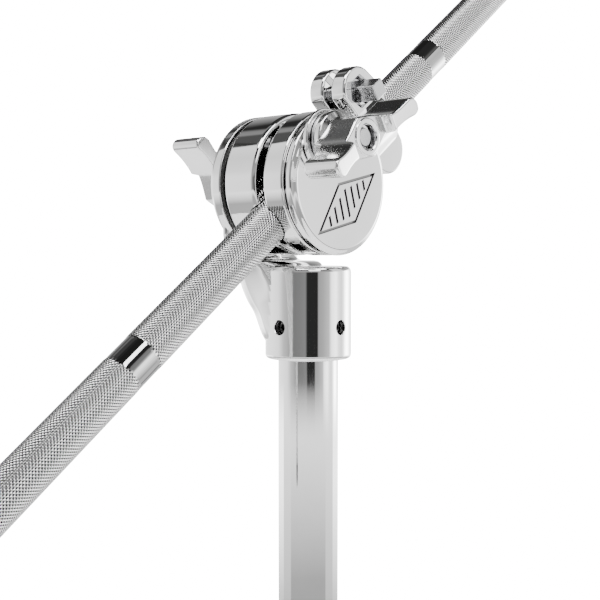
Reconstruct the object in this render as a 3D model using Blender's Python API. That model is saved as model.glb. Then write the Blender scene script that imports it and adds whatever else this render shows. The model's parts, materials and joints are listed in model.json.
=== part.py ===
"""Cymbal boom stand: a double-braced tripod, two telescoping height tiers, a friction
boom tilter that clamps a knurled boom rod, and a small cymbal tilter at the rod's end.

The numbers below are millimetres; MM turns them into Blender's metres. World +Z is up,
the origin is on the floor under the tubes' common axis, +X is the way the boom points
and the tilter's hinge axis runs along Y. Each mesh is modelled round its own local Z
axis or in its own small frame, and then placed by location, rotation and parenting.
"""

import math

import bmesh
import bpy
from mathutils import Matrix, Vector

MM = 0.001
GAP = 0.3  # between pieces that touch on the real stand

# Heights above the floor
TILTER_Z = 910.0
BASE_TUBE_BOTTOM = 22.3
BASE_TUBE_TOP = 520.0
MIDDLE_TUBE_BOTTOM = 300.0
MIDDLE_TUBE_TOP = 720.0
TOP_TUBE_BOTTOM = 560.0
COLLAR_PIVOT_Z = 318.0
HUB_PIVOT_Z = 50.0

# Tubes: 1 1/8", 7/8" and 3/4" outside
BASE_TUBE_R = 14.3
MIDDLE_TUBE_R = 11.1
TOP_TUBE_R = 9.525
BASE_WALL = 1.6
TUBE_WALL = 1.25

# Tripod
LEG_AZIMUTHS = (0.0, 120.0, 240.0)
LEG_SLOPE = 46.0  # degrees below the horizontal when open
LEG_PIVOT_R = 36.0
LEG_LENGTH = 420.0
LEG_STRIP = (4.4, 6.2)  # lateral span of each of a leg's two strips
LEG_HALF_WIDTH = 8.0
FOOT_SPAN = (394.0, 442.0)
FOOT_HALF = (12.0, 11.0)
BRACE_PIVOT_R = 23.0
BRACE_MEETS_LEG = 190.0
BRACE_STRIP = (6.6, 8.2)
BRACE_HALF_WIDTH = 6.0
PIN_R = 3.0
LUG_HALF_THICKNESS = 4.0

# Boom tilter, in a frame whose origin is the hinge axis over the tube
BOOM_ANGLE = 36.0
DISC_R = 22.5
SOCKET_R = 13.65
SOCKET_BOTTOM = -55.0
SOCKET_TOP = -25.7
BASE_PLATE_Y = (17.0, 22.0)
BRAKE_WASHER_Y = (15.1, 16.7)
REAR_DISC_Y = (2.0, 14.8)
FRONT_DISC_Y = (-9.4, -1.4)
COVER_Y = (-13.8, -9.7)
ROD_R = 6.35
ROD_Y = 0.95
CLAMP_OFFSET = 15.0  # clamp bolt and guide pin stand this far either side of the rod
TILT_BOLT_R = 4.0
CLAMP_BOLT_R = 3.0
CLAMP_WASHER_Y = (-15.7, -14.1)
SPRING_WASHER_Y = (-17.2, -16.0)
CLAMP_NUT_Y = -17.5
TILT_WASHER_Y = (22.3, 24.4)
TILT_SPRING_WASHER_Y = (24.7, 28.2)
TILT_NUT_Y = 28.5
WING_ANGLE_FRONT = 30.5
WING_ANGLE_REAR = 135.0

# Wing nuts and wing bolts: the hub's depth, and how far forward of it the wings stand
WING_DEPTH = 13.2
WING_ROOT = 8.9
WING_STEP = 3.2
WING_LEAN = 0.14

# Boom rod and what is on it, measured along the rod from the hinge axis
ROD_SPAN = (-205.0, 275.0)
LOCK_AT = 32.5
LOCK_EAR_OFFSET = 14.0
LOCK_EAR_R = 8.2
LOCK_R = 11.2
LOCK_HALF_LENGTH = 8.0
LOCK_POCKET = 3.6  # depth of the hexagonal pocket round the screw's head
LOCK_SCREW_REACH = 11.1
LOCK_SLOT = (-0.7, 2.6)  # the gap between the ears
LOCK_Y = (-6.6, 8.5)
CYMBAL_PIVOT_AT = 292.0
CYMBAL_DISC_R = 12.5
CYMBAL_ROD_R = 4.0
CYMBAL_ROD_Y = 7.0

SMOOTH_ANGLE = math.radians(35)

MATERIALS = {
    "chrome": ((0.78, 0.78, 0.79), 0.08, 1.0),
    "knurled_chrome": ((0.68, 0.68, 0.69), 0.3, 1.0),
    "dark_steel": ((0.25, 0.25, 0.26), 0.3, 1.0),
    "rubber": ((0.03, 0.03, 0.03), 0.7, 0.0),
    "nylon": ((0.05, 0.05, 0.05), 0.45, 0.0),
    "felt": ((0.22, 0.22, 0.23), 0.95, 0.0),
}


# ---------------------------------------------------------------- helpers


def clear_scene():
    for obj in list(bpy.data.objects):
        bpy.data.objects.remove(obj, do_unlink=True)


def principled(name, colour, roughness, metallic):
    material = bpy.data.materials.new(name)
    material.use_nodes = True
    shader = material.node_tree.nodes["Principled BSDF"]
    shader.inputs["Base Color"].default_value = (*colour, 1.0)
    shader.inputs["Roughness"].default_value = roughness
    shader.inputs["Metallic"].default_value = metallic
    material.diffuse_color = (*colour, 1.0)
    return material


def mesh_from(name, points, faces):
    """A mesh from millimetre points, facing outwards and shaded smooth up to SMOOTH_ANGLE."""
    mesh = bpy.data.meshes.new(name)
    mesh.from_pydata([Vector(p) * MM for p in points], [], faces)
    work = bmesh.new()
    work.from_mesh(mesh)
    bmesh.ops.recalc_face_normals(work, faces=work.faces)
    work.to_mesh(mesh)
    work.free()
    mesh.shade_smooth()
    mesh.set_sharp_from_angle(angle=SMOOTH_ANGLE)
    return mesh


def turned(profile, segments=24, ring=False):
    """Points and faces of a profile of (radius, height) turned about Z.
    A ring's profile is a closed loop clear of the axis; any other starts and ends on it."""
    points, rows = [], []
    for radius, height in profile:
        count = segments if radius > 1e-6 else 1
        rows.append([len(points) + i for i in range(count)])
        for i in range(count):
            angle = 2 * math.pi * i / segments
            points.append((radius * math.cos(angle), radius * math.sin(angle), height))
    pairs = list(zip(rows, rows[1:] + rows[:1])) if ring else list(zip(rows, rows[1:]))
    faces = []
    for low, high in pairs:
        for i in range(segments):
            j = (i + 1) % segments
            corners = [low[i % len(low)], low[j % len(low)], high[j % len(high)], high[i % len(high)]]
            faces.append(list(dict.fromkeys(corners)))
    return points, faces


def ring_profile(inner, outer, low, high):
    return [(inner, low), (outer, low), (outer, high), (inner, high)]


def cylinder_profile(outer, low, high):
    return [(0, low), (outer, low), (outer, high), (0, high)]


def tube_profile(inner, outer, low, high, edge=0.4):
    """A closed loop for a tube or ring with its outer edges chamfered."""
    return [
        (inner, low),
        (outer - edge, low),
        (outer, low + edge),
        (outer, high - edge),
        (outer - edge, high),
        (inner, high),
    ]


def solid_profile(outer, low, high, edge=0.4):
    """A profile for a solid cylinder with chamfered edges."""
    return [
        (0, low),
        (outer - edge, low),
        (outer, low + edge),
        (outer, high - edge),
        (outer - edge, high),
        (0, high),
    ]


def lofted(sections):
    """Points and faces through sections of equally many points each, with both ends capped."""
    count = len(sections[0])
    points = [p for section in sections for p in section]
    faces = [list(range(count)), [len(points) - count + i for i in range(count)]]
    for k in range(len(sections) - 1):
        for i in range(count):
            j = (i + 1) % count
            a, b = k * count, (k + 1) * count
            faces.append([a + i, a + j, b + j, b + i])
    return points, faces


def extruded(outline, low, high):
    """Points and faces of an outline in X and Y extruded along Z."""
    return lofted([[(x, y, z) for x, y in outline] for z in (low, high)])


def block(low, high):
    (x0, y0, z0), (x1, y1, z1) = low, high
    return extruded([(x0, y0), (x1, y0), (x1, y1), (x0, y1)], z0, z1)


def arc(cx, cy, radius, start, end, steps):
    """Points on a circle from one angle to another, in degrees, both ends included."""
    angles = [math.radians(start + (end - start) * i / steps) for i in range(steps + 1)]
    return [(cx + radius * math.cos(a), cy + radius * math.sin(a)) for a in angles]


def made(name, shape, material, parent=None, at=(0, 0, 0), rotation=None):
    """An object from (points, faces), placed in millimetres by location and rotation."""
    mesh = mesh_from(name, *shape)
    obj = bpy.data.objects.new(name, mesh)
    bpy.context.scene.collection.objects.link(obj)
    if material:
        mesh.materials.append(material)
    obj.parent = parent
    obj.location = Vector(at) * MM
    if rotation is not None:
        obj.rotation_euler = rotation.to_euler()
    return obj


def helper(name, shape, parent=None, at=(0, 0, 0), rotation=None):
    """A shape that only a Boolean uses."""
    obj = made(name, shape, None, parent, at, rotation)
    obj.hide_render = True
    obj.display_type = "WIRE"
    return obj


def boolean(target, other, operation):
    modifier = target.modifiers.new(f"{operation.lower()} {other.name}", "BOOLEAN")
    modifier.operation = operation
    modifier.solver = "EXACT"
    modifier.object = other


def join(target, *others):
    for other in others:
        boolean(target, other, "UNION")


def cut(target, *others):
    for other in others:
        boolean(target, other, "DIFFERENCE")


def empty(name, at, rotation=None, parent=None):
    obj = bpy.data.objects.new(name, None)
    bpy.context.scene.collection.objects.link(obj)
    obj.parent = parent
    obj.location = Vector(at) * MM
    if rotation is not None:
        obj.rotation_euler = rotation.to_euler()
    return obj


def about(axis, degrees):
    return Matrix.Rotation(math.radians(degrees), 3, axis)


# Rotations that lay a shape's own Z axis along a named direction
ALONG_PLUS_Y = about("X", -90)
ALONG_MINUS_Y = about("X", 90)
ALONG_X = about("Y", 90)


def radial(azimuth):
    """Turns a shape's Z axis to point away from the tubes at this azimuth, its Y axis down."""
    return about("Z", azimuth) @ about("Y", 90) @ about("Z", 90)


# ---------------------------------------------------------------- shared hardware


def wing_outline():
    """The wing nut seen from its end: a hub block with two wings, the same after half a turn."""
    half = [
        (-18.9, -3.3),
        (-21.0, -2.2),
        (-21.8, 0.0),
        (-20.8, 2.1),
        (-18.9, 2.6),
        (-9.9, 2.8),
        (-8.9, 3.2),
        (-1.2, 6.9),
        (5.5, 4.6),
        (8.9, 2.5),
        (9.9, 2.3),
    ]
    return half + [(-x, -y) for x, y in half]


def wing_shape(scale):
    """The wings stand forward of the hub with a step at their root, and lean on as they go out."""
    points, faces = extruded(wing_outline(), 0.4, WING_DEPTH)
    moved = []
    for x, y, z in points:
        beyond = abs(x) - WING_ROOT
        forward = WING_STEP + WING_LEAN * (beyond - 1.0) if beyond >= 1.0 else 0.0
        moved.append((x * scale, y * scale, (z + forward) * scale))
    return moved, faces


def wing_piece(name, material, parent, at, rotation, scale=1.0, stem=None, bore=None):
    """A wing nut with a through bore, or a wing bolt with a stem that points down its own Z."""
    obj = made(name, wing_shape(scale), material, parent, at, rotation)
    hub = [(0, 0), (8.6, 0), (8.6, 1.8), (5.9, 3.2), (5.6, 13.7), (0, 13.7)]
    hub = [(r * scale, z * scale) for r, z in hub]
    if stem:
        stem_r, stem_length = stem
        hub = [(0, -stem_length), (stem_r, -stem_length), (stem_r, 0)] + hub[1:]
    join(obj, helper(f"{name}_hub", turned(hub, 16), parent, at, rotation))
    if bore:
        wide = bore + 0.6
        top = 13.7 * scale
        hole = [(0, -1), (bore, -1), (bore, top - 3), (wide, top - 2.6), (wide, top + 1), (0, top + 1)]
        cut(obj, helper(f"{name}_bore", turned(hole, 16), parent, at, rotation))
    return obj


def key_screw(name, material, parent, at, rotation, radius, length, head, reach=6.0):
    """A drum-key screw: a square head on a round shank that points down its own Z."""
    obj = made(name, turned(cylinder_profile(radius, -length, 0.2), 12), material, parent, at, rotation)
    side = head * 0.62
    square = [(-side, -side), (side, -side), (side, side), (-side, side)]
    join(obj, helper(f"{name}_head", extruded(square, 0.9, reach), parent, at, rotation))
    join(obj, helper(f"{name}_washer", turned(cylinder_profile(head, 0, 1.2), 16), parent, at, rotation))
    return obj


# ---------------------------------------------------------------- tripod


def lug_ring(name, material, at_z, ring, lug_r, lug_end, lug_half_height):
    """A ring round the base tube with one pierced lug for each leg."""
    low, high, outer = ring
    inner = BASE_TUBE_R + GAP
    profile = tube_profile(inner, outer, low, high, 1.0)
    obj = made(name, turned(profile, ring=True), material, at=(0, 0, at_z))
    for number, azimuth in enumerate(LEG_AZIMUTHS, 1):
        turn = about("Z", azimuth)
        inner_x = inner + 1.2
        tip = arc(lug_r, 0, lug_end, -80, 80, 6)
        outline = [(inner_x, -lug_half_height), *tip, (inner_x, lug_half_height)]
        across = turn @ ALONG_MINUS_Y
        lug = extruded(outline, -LUG_HALF_THICKNESS, LUG_HALF_THICKNESS)
        join(obj, helper(f"{name}_lug_{number}", lug, at=(0, 0, at_z), rotation=across))
        hole_at = turn @ Vector((lug_r, 0, at_z))
        hole = turned(cylinder_profile(PIN_R + GAP, -6, 6), 12)
        cut(obj, helper(f"{name}_hole_{number}", hole, at=hole_at, rotation=across))
    return obj


def leg_collar(chrome):
    ring = (-18.0, 18.0, 20.0)
    obj = lug_ring("leg_collar", chrome, COLLAR_PIVOT_Z, ring, LEG_PIVOT_R, 7.0, 9.0)
    boss_at = (0, 0, COLLAR_PIVOT_Z)
    boss = turned([(0, 17.0), (8.0, 17.0), (8.0, 30.5), (7.0, 31.5), (0, 31.5)], 16)
    join(obj, helper("leg_collar_boss", boss, at=boss_at, rotation=radial(180)))
    hole = turned(cylinder_profile(3.8, 10, 40), 14)
    cut(obj, helper("leg_collar_bolt_hole", hole, at=boss_at, rotation=radial(180)))
    bolt_at = about("Z", 180) @ Vector((31.8, 0, COLLAR_PIVOT_Z))
    wing_piece("leg_collar_wing_bolt", chrome, None, bolt_at, radial(180), stem=(3.5, 17.0))


def brace_hub(chrome, dark_steel):
    ring = (-13.0, 13.0, 17.3)
    obj = lug_ring("brace_hub", chrome, HUB_PIVOT_Z, ring, BRACE_PIVOT_R, 6.3, 8.0)
    screw_z = HUB_PIVOT_Z + 7.0
    hole = turned(cylinder_profile(2.8, 10, 25), 16)
    cut(obj, helper("brace_hub_screw_hole", hole, at=(0, 0, screw_z), rotation=radial(60)))
    screw = turned([(0, 14.7), (2.5, 14.7), (2.5, 17.4), (1.3, 17.4), (1.1, 16.2), (0, 16.2)], 12)
    made("brace_hub_screw", screw, dark_steel, at=(0, 0, screw_z), rotation=radial(60))


def strap(start, end, half_width, lateral):
    """A flat strip with round ends, from one pivot to another, in X and Y, standing along Z."""
    outline = arc(end, 0, half_width, -90, 90, 6) + arc(start, 0, half_width, 90, 270, 6)
    return extruded(outline, *lateral)


def leg_rotation(azimuth):
    """X runs down the leg and Z runs sideways."""
    return about("Z", azimuth) @ about("Y", LEG_SLOPE) @ ALONG_MINUS_Y


def leg(number, azimuth, chrome, rubber):
    pivot = about("Z", azimuth) @ Vector((LEG_PIVOT_R, 0, COLLAR_PIVOT_Z))
    turn = leg_rotation(azimuth)
    near, far = LEG_STRIP
    name = f"leg_{number}"
    straight = LEG_LENGTH - LEG_HALF_WIDTH
    obj = made(name, strap(0, straight, LEG_HALF_WIDTH, (near, far)), chrome, None, pivot, turn)
    join(obj, helper(f"{name}_strip", strap(0, straight, LEG_HALF_WIDTH, (-far, -near)), None, pivot, turn))
    spacer = block((FOOT_SPAN[0] - 30, -6.5, -5), (straight, 6.5, 5))
    join(obj, helper(f"{name}_spacer", spacer, None, pivot, turn))
    join(obj, helper(f"{name}_pin", turned(cylinder_profile(PIN_R, -6.3, 6.3), 12), None, pivot, turn))
    for side in (-1, 1):
        head = [(0, side * 5.8), (4.6, side * 5.8), (3.6, side * 8.0), (0, side * 8.0)]
        join(obj, helper(f"{name}_rivet_{side + 1}", turned(head, 12), None, pivot, turn))

    foot_name = f"foot_{number}"
    half_height, half_width = FOOT_HALF
    start, end = FOOT_SPAN
    outline = [
        (start, -half_height + 3),
        (start + 4, -half_height),
        (end - 5, -half_height),
        (end, -half_height + 6),
        (end, half_height - 2),
        (end - 2, half_height),
        (start + 4, half_height),
        (start, half_height - 3),
    ]
    foot = made(foot_name, extruded(outline, -half_width, half_width), rubber, None, pivot, turn)
    bevel = foot.modifiers.new("rounded edges", "BEVEL")
    bevel.width = 2.0 * MM
    bevel.segments = 2
    bevel.limit_method = "ANGLE"
    pocket = block((start - 5, -8.4, -6.6), (LEG_LENGTH + GAP, 8.4, 6.6))
    cut(foot, helper(f"{foot_name}_pocket", pocket, None, pivot, turn))
    floor_at = about("Z", azimuth) @ Vector((330, 0, 0))
    cut(foot, helper(f"{foot_name}_floor", block((-60, -60, -40), (60, 60, 0)), None, floor_at))


def brace(number, azimuth, chrome):
    slope = math.radians(LEG_SLOPE)
    meet_x = LEG_PIVOT_R + BRACE_MEETS_LEG * math.cos(slope)
    meet_z = COLLAR_PIVOT_Z - BRACE_MEETS_LEG * math.sin(slope)
    run = meet_x - BRACE_PIVOT_R
    rise = meet_z - HUB_PIVOT_Z
    length = math.hypot(run, rise)
    pivot = about("Z", azimuth) @ Vector((BRACE_PIVOT_R, 0, HUB_PIVOT_Z))
    turn = about("Z", azimuth) @ about("Y", -math.degrees(math.atan2(rise, run))) @ ALONG_MINUS_Y
    near, far = BRACE_STRIP
    name = f"brace_{number}"
    obj = made(name, strap(0, length, BRACE_HALF_WIDTH, (near, far)), chrome, None, pivot, turn)
    join(obj, helper(f"{name}_strip", strap(0, length, BRACE_HALF_WIDTH, (-far, -near)), None, pivot, turn))
    join(obj, helper(f"{name}_pin", turned(cylinder_profile(PIN_R, -8.0, 8.0), 12), None, pivot, turn))
    for at in (0.0, length):
        for side in (-1, 1):
            low, high = side * (far - 0.5), side * (far + 1.6)
            head = [(0, low), (4.2, low), (3.3, high), (0, high)]
            place = pivot + turn @ Vector((at, 0, 0))
            rivet = helper(f"{name}_rivet_{int(at)}_{side + 1}", turned(head, 12), None, place, turn)
            join(obj, rivet)


def tripod(materials):
    chrome = materials["chrome"]
    leg_collar(chrome)
    brace_hub(chrome, materials["dark_steel"])
    outside = [(0, 0), (12.8, 0), (14.3, 1.5), (14.3, 22.0)]
    inside = [(12.3, 22.0), (12.3, 34.0), (11.3, 35.0), (0, 35.0)]
    made("tube_plug", turned(outside + inside), materials["rubber"])
    for number, azimuth in enumerate(LEG_AZIMUTHS, 1):
        leg(number, azimuth, chrome, materials["rubber"])
        brace(number, azimuth, chrome)


# ---------------------------------------------------------------- height tiers


def tube(name, material, radius, wall, low, high):
    made(name, turned(ring_profile(radius - wall, radius, low, high), ring=True), material)


def tube_clamp(prefix, materials, tube_top, lower_r, upper_r):
    """The casting on top of a tube: it holds a nylon bush round the next tube and a wing bolt."""
    chrome = materials["chrome"]
    bore = lower_r + GAP
    outer = lower_r + 4.7
    top = 18.0
    lip = upper_r + 0.9
    profile = [
        (bore, -36.0),
        (outer - 1.2, -36.0),
        (outer, -34.8),
        (outer, top - 2.0),
        (outer - 2.0, top),
        (lip, top),
        (lip, 15.0),
        (bore, 15.0),
    ]
    casting = made(f"{prefix}_clamp", turned(profile, ring=True), chrome, at=(0, 0, tube_top))
    bolt_z = tube_top + 7.5
    boss_end = outer + 13.0
    boss = [(0, lower_r + 1.5), (8.2, lower_r + 1.5), (8.2, boss_end - 1.0), (7.2, boss_end), (0, boss_end)]
    turn = radial(-90)
    join(casting, helper(f"{prefix}_clamp_boss", turned(boss, 16), at=(0, 0, bolt_z), rotation=turn))
    hole = turned(cylinder_profile(3.8, lower_r - 4.0, boss_end + 5.0), 14)
    cut(casting, helper(f"{prefix}_clamp_hole", hole, at=(0, 0, bolt_z), rotation=turn))
    bush = ring_profile(upper_r + GAP, lower_r, 0.5, 14.6)
    made(f"{prefix}_bush", turned(bush, ring=True), materials["nylon"], at=(0, 0, tube_top))
    bolt_at = (0, -(boss_end + GAP), bolt_z)
    stem = boss_end + GAP - lower_r - 0.5
    wing_piece(f"{prefix}_wing_bolt", chrome, None, bolt_at, turn, stem=(3.5, stem))


def tube_lock(prefix, materials, low, tube_r):
    """A split ring that marks a tube's height, closed by a drum-key screw through its ears."""
    height = 12.0
    profile = tube_profile(tube_r + GAP, tube_r + 4.2, 0, height, 0.8)
    name = f"{prefix}_memory_lock"
    obj = made(name, turned(profile, ring=True), materials["chrome"], at=(0, 0, low))
    ear_x = tube_r + 8.5
    outline = [(tube_r + 1.5, -6.0), *arc(ear_x, 0, 6.0, -90, 90, 6), (tube_r + 1.5, 6.0)]
    facing = ALONG_MINUS_Y
    centre = (0, 0, low + height / 2)
    join(obj, helper(f"{name}_ears", extruded(outline, -6.0, 6.0), at=centre, rotation=facing))
    cut(obj, helper(f"{name}_slot", block((tube_r - 3, -1.2, -20), (tube_r + 25, 1.2, 20)), at=centre))
    screw_at = (ear_x, 0, low + height / 2)
    hole = turned(cylinder_profile(2.8, -12, 12), 12)
    cut(obj, helper(f"{name}_hole", hole, at=screw_at, rotation=facing))
    head_at = (ear_x, -6.0 - GAP, low + height / 2)
    key_screw(f"{prefix}_lock_screw", materials["dark_steel"], None, head_at, facing, 2.5, 12.5, 4.6)


def height_tiers(materials):
    chrome = materials["chrome"]
    tube("base_tube", chrome, BASE_TUBE_R, BASE_WALL, BASE_TUBE_BOTTOM, BASE_TUBE_TOP)
    tube("middle_tube", chrome, MIDDLE_TUBE_R, TUBE_WALL, MIDDLE_TUBE_BOTTOM, MIDDLE_TUBE_TOP)
    tube("top_tube", chrome, TOP_TUBE_R, TUBE_WALL, TOP_TUBE_BOTTOM, TILTER_Z - 30.4)
    tube_clamp("base", materials, BASE_TUBE_TOP, BASE_TUBE_R, MIDDLE_TUBE_R)
    tube_clamp("middle", materials, MIDDLE_TUBE_TOP, MIDDLE_TUBE_R, TOP_TUBE_R)
    tube_lock("middle", materials, BASE_TUBE_TOP + 18.0 + GAP, MIDDLE_TUBE_R)
    tube_lock("top", materials, MIDDLE_TUBE_TOP + 18.0 + GAP, TOP_TUBE_R)


# ---------------------------------------------------------------- boom tilter


def neck_section(z, half_x, front, back, power, count=22):
    """A superellipse across the neck at one height."""
    centre = (front + back) / 2
    half_y = (back - front) / 2
    points = []
    for i in range(count):
        angle = 2 * math.pi * i / count
        c, s = math.cos(angle), math.sin(angle)
        x = half_x * math.copysign(abs(c) ** (2 / power), c)
        y = half_y * math.copysign(abs(s) ** (2 / power), s)
        points.append((x, centre + y, z))
    return points


def tilter_base(materials, tilter):
    """The casting: a socket for the tube whose back rises as a neck to the hinge plate."""
    chrome = materials["chrome"]
    bottom, top = SOCKET_BOTTOM, SOCKET_TOP
    socket = [
        (0, bottom),
        (SOCKET_R - 1.4, bottom),
        (SOCKET_R - 0.4, bottom + 0.4),
        (SOCKET_R, bottom + 1.3),
        (SOCKET_R, top - 1.6),
        (SOCKET_R - 0.5, top - 0.5),
        (SOCKET_R - 1.6, top),
        (0, top),
    ]
    obj = made("tilter_base", turned(socket, 28), chrome, tilter)
    low, high = BASE_PLATE_Y
    plate = [
        (0, low),
        (DISC_R - 0.5, low),
        (DISC_R, low + 0.5),
        (DISC_R, high - 2.0),
        (DISC_R - 0.6, high - 0.6),
        (DISC_R - 2.0, high),
        (0, high),
    ]
    join(obj, helper("tilter_base_plate", turned(plate, 32), tilter, rotation=ALONG_PLUS_Y))
    sections = [
        (-51.0, 11.5, -6.0, 12.0, 2.0),
        (-47.5, 12.8, -6.0, 14.1, 2.2),
        (-41.0, 13.1, -6.0, 17.2, 2.4),
        (-37.0, 13.2, -5.0, 19.9, 2.7),
        (-32.5, 13.6, -3.0, 21.6, 3.0),
        (-28.0, 14.3, 0.5, 21.8, 3.2),
        (-24.4, 15.2, 5.0, 21.8, 3.2),
        (-23.4, 15.6, 17.0, 21.8, 3.2),
        (-16.0, 18.0, 17.6, 21.6, 3.2),
        (-9.0, 18.0, 18.0, 21.4, 3.2),
    ]
    neck = lofted([neck_section(*section) for section in sections])
    join(obj, helper("tilter_base_neck", neck, tilter))
    bore = turned(cylinder_profile(TOP_TUBE_R + GAP, bottom - 5, -30.0), 24)
    cut(obj, helper("tilter_base_bore", bore, tilter))
    pivot = turned(cylinder_profile(TILT_BOLT_R + GAP, 10, 30), 16)
    cut(obj, helper("tilter_base_pivot", pivot, tilter, rotation=ALONG_PLUS_Y))
    for side, azimuth in (("front", -90), ("side", 180)):
        hole = turned(cylinder_profile(2.2, 5, 20), 12)
        at = (0, 0, -44.7)
        cut(obj, helper(f"tilter_base_{side}_hole", hole, tilter, at, radial(azimuth)))
        screw = turned([(0, 9.8), (1.9, 9.8), (1.9, 12.7), (1.0, 12.7), (0.9, 11.4), (0, 11.4)], 12)
        made(f"socket_screw_{side}", screw, materials["dark_steel"], tilter, at, radial(azimuth))


def disc_profile(radius, low, high, low_edge, high_edge):
    return [
        (0, low),
        (radius - low_edge, low),
        (radius, low + low_edge),
        (radius, high - high_edge),
        (radius - high_edge, high),
        (0, high),
    ]


def rod_groove(name, boom):
    """Clears the rod where it lies between the two clamp discs."""
    shape = turned(cylinder_profile(ROD_R + GAP, -60, 60), 24)
    return helper(name, shape, boom, (0, ROD_Y, 0), ALONG_X)


def clamp_discs(materials, boom):
    chrome = materials["chrome"]
    rear = made(
        "rear_clamp_disc",
        turned(disc_profile(DISC_R, *REAR_DISC_Y, 1.3, 0.6), 36),
        chrome,
        boom,
        rotation=ALONG_PLUS_Y,
    )
    front = made(
        "front_clamp_disc",
        turned(disc_profile(DISC_R, *FRONT_DISC_Y, 0.6, 0.9), 36),
        chrome,
        boom,
        rotation=ALONG_PLUS_Y,
    )
    low, high = COVER_Y
    profile = [
        (0, low),
        (DISC_R - 2.2, low),
        (DISC_R - 0.8, low + 0.5),
        (DISC_R, low + 1.6),
        (DISC_R, low + 2.8),
        (DISC_R - 1.2, low + 2.8),
        (DISC_R - 1.2, high),
        (0, high),
    ]
    cover = made("front_cover", turned(profile, 36), chrome, boom, rotation=ALONG_PLUS_Y)
    cut(rear, rod_groove("rear_disc_groove", boom))
    cut(front, rod_groove("front_disc_groove", boom))

    bolt_hole = turned(cylinder_profile(CLAMP_BOLT_R + GAP, -30, 30), 14)
    for number, target in enumerate((rear, front, cover), 1):
        hole = helper(f"clamp_bolt_hole_{number}", bolt_hole, boom, (0, 0, CLAMP_OFFSET), ALONG_PLUS_Y)
        cut(target, hole)
    pocket = turned(cylinder_profile(5.6, 10.6, 20), 18)
    cut(rear, helper("clamp_head_pocket", pocket, boom, (0, 0, CLAMP_OFFSET), ALONG_PLUS_Y))
    stud_hole = turned(cylinder_profile(TILT_BOLT_R + GAP, 9.7, 20), 16)
    cut(rear, helper("tilt_stud_hole", stud_hole, boom, rotation=ALONG_PLUS_Y))
    pin_hole = turned(cylinder_profile(2.8, -6.8, 11.3), 12)
    for number, target in enumerate((rear, front), 1):
        hole = helper(f"guide_pin_hole_{number}", pin_hole, boom, (0, 0, -CLAMP_OFFSET), ALONG_PLUS_Y)
        cut(target, hole)


def tilter_hardware(materials, tilter, boom):
    chrome, steel = materials["chrome"], materials["dark_steel"]
    pin = turned(cylinder_profile(2.5, -6.5, 11.0), 12)
    made("guide_pin", pin, steel, boom, (0, 0, -CLAMP_OFFSET), ALONG_PLUS_Y)

    washer = turned(ring_profile(TILT_BOLT_R + GAP, 20.5, *BRAKE_WASHER_Y), 28, ring=True)
    made("brake_washer", washer, materials["nylon"], boom, rotation=ALONG_PLUS_Y)
    stud = turned(cylinder_profile(TILT_BOLT_R, 10.0, 40.5), 16)
    made("tilt_bolt", stud, steel, boom, rotation=ALONG_PLUS_Y)
    washer = turned(ring_profile(TILT_BOLT_R + GAP, 9.5, *TILT_WASHER_Y), 20, ring=True)
    made("tilt_washer", washer, chrome, tilter, rotation=ALONG_PLUS_Y)
    washer = turned(ring_profile(TILT_BOLT_R + GAP, 7.6, *TILT_SPRING_WASHER_Y), 20, ring=True)
    made("tilt_spring_washer", washer, steel, tilter, rotation=ALONG_PLUS_Y)
    turn = ALONG_PLUS_Y @ about("Z", -WING_ANGLE_REAR)
    wing_piece("tilt_wing_nut", chrome, tilter, (0, TILT_NUT_Y, 0), turn, bore=TILT_BOLT_R + GAP)

    bolt = turned(cylinder_profile(CLAMP_BOLT_R, -30.0, 11.2), 14)
    place = (0, 0, CLAMP_OFFSET)
    obj = made("clamp_bolt", bolt, steel, boom, place, ALONG_PLUS_Y)
    head = extruded(arc(0, 0, 5.1, 0, 300, 5), 10.9, 14.4)
    join(obj, helper("clamp_bolt_head", head, boom, place, ALONG_PLUS_Y))
    washer = turned(ring_profile(CLAMP_BOLT_R + GAP, 9.6, *CLAMP_WASHER_Y), 20, ring=True)
    made("clamp_washer", washer, chrome, boom, place, ALONG_PLUS_Y)
    washer = turned(ring_profile(CLAMP_BOLT_R + GAP, 8.2, *SPRING_WASHER_Y), 20, ring=True)
    made("clamp_spring_washer", washer, steel, boom, place, ALONG_PLUS_Y)
    turn = ALONG_MINUS_Y @ about("Z", WING_ANGLE_FRONT - BOOM_ANGLE)
    nut_at = (0, CLAMP_NUT_Y, CLAMP_OFFSET)
    wing_piece("clamp_wing_nut", chrome, boom, nut_at, turn, bore=CLAMP_BOLT_R + GAP)


def boom_rod(materials, boom):
    start, end = ROD_SPAN
    rod = turned(solid_profile(ROD_R, start, end, 0.6))
    made("boom_rod", rod, materials["knurled_chrome"], boom, (0, ROD_Y, 0), ALONG_X)
    cap = [
        (0, start - 3.0),
        (ROD_R + 0.4, start - 3.0),
        (ROD_R + 2.0, start - 1.5),
        (ROD_R + 2.0, start + 15.5),
        (ROD_R + GAP, start + 16.0),
        (ROD_R + GAP, start - GAP),
        (0, start - GAP),
    ]
    made("boom_end_cap", turned(cap), materials["rubber"], boom, (0, ROD_Y, 0), ALONG_X)


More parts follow.
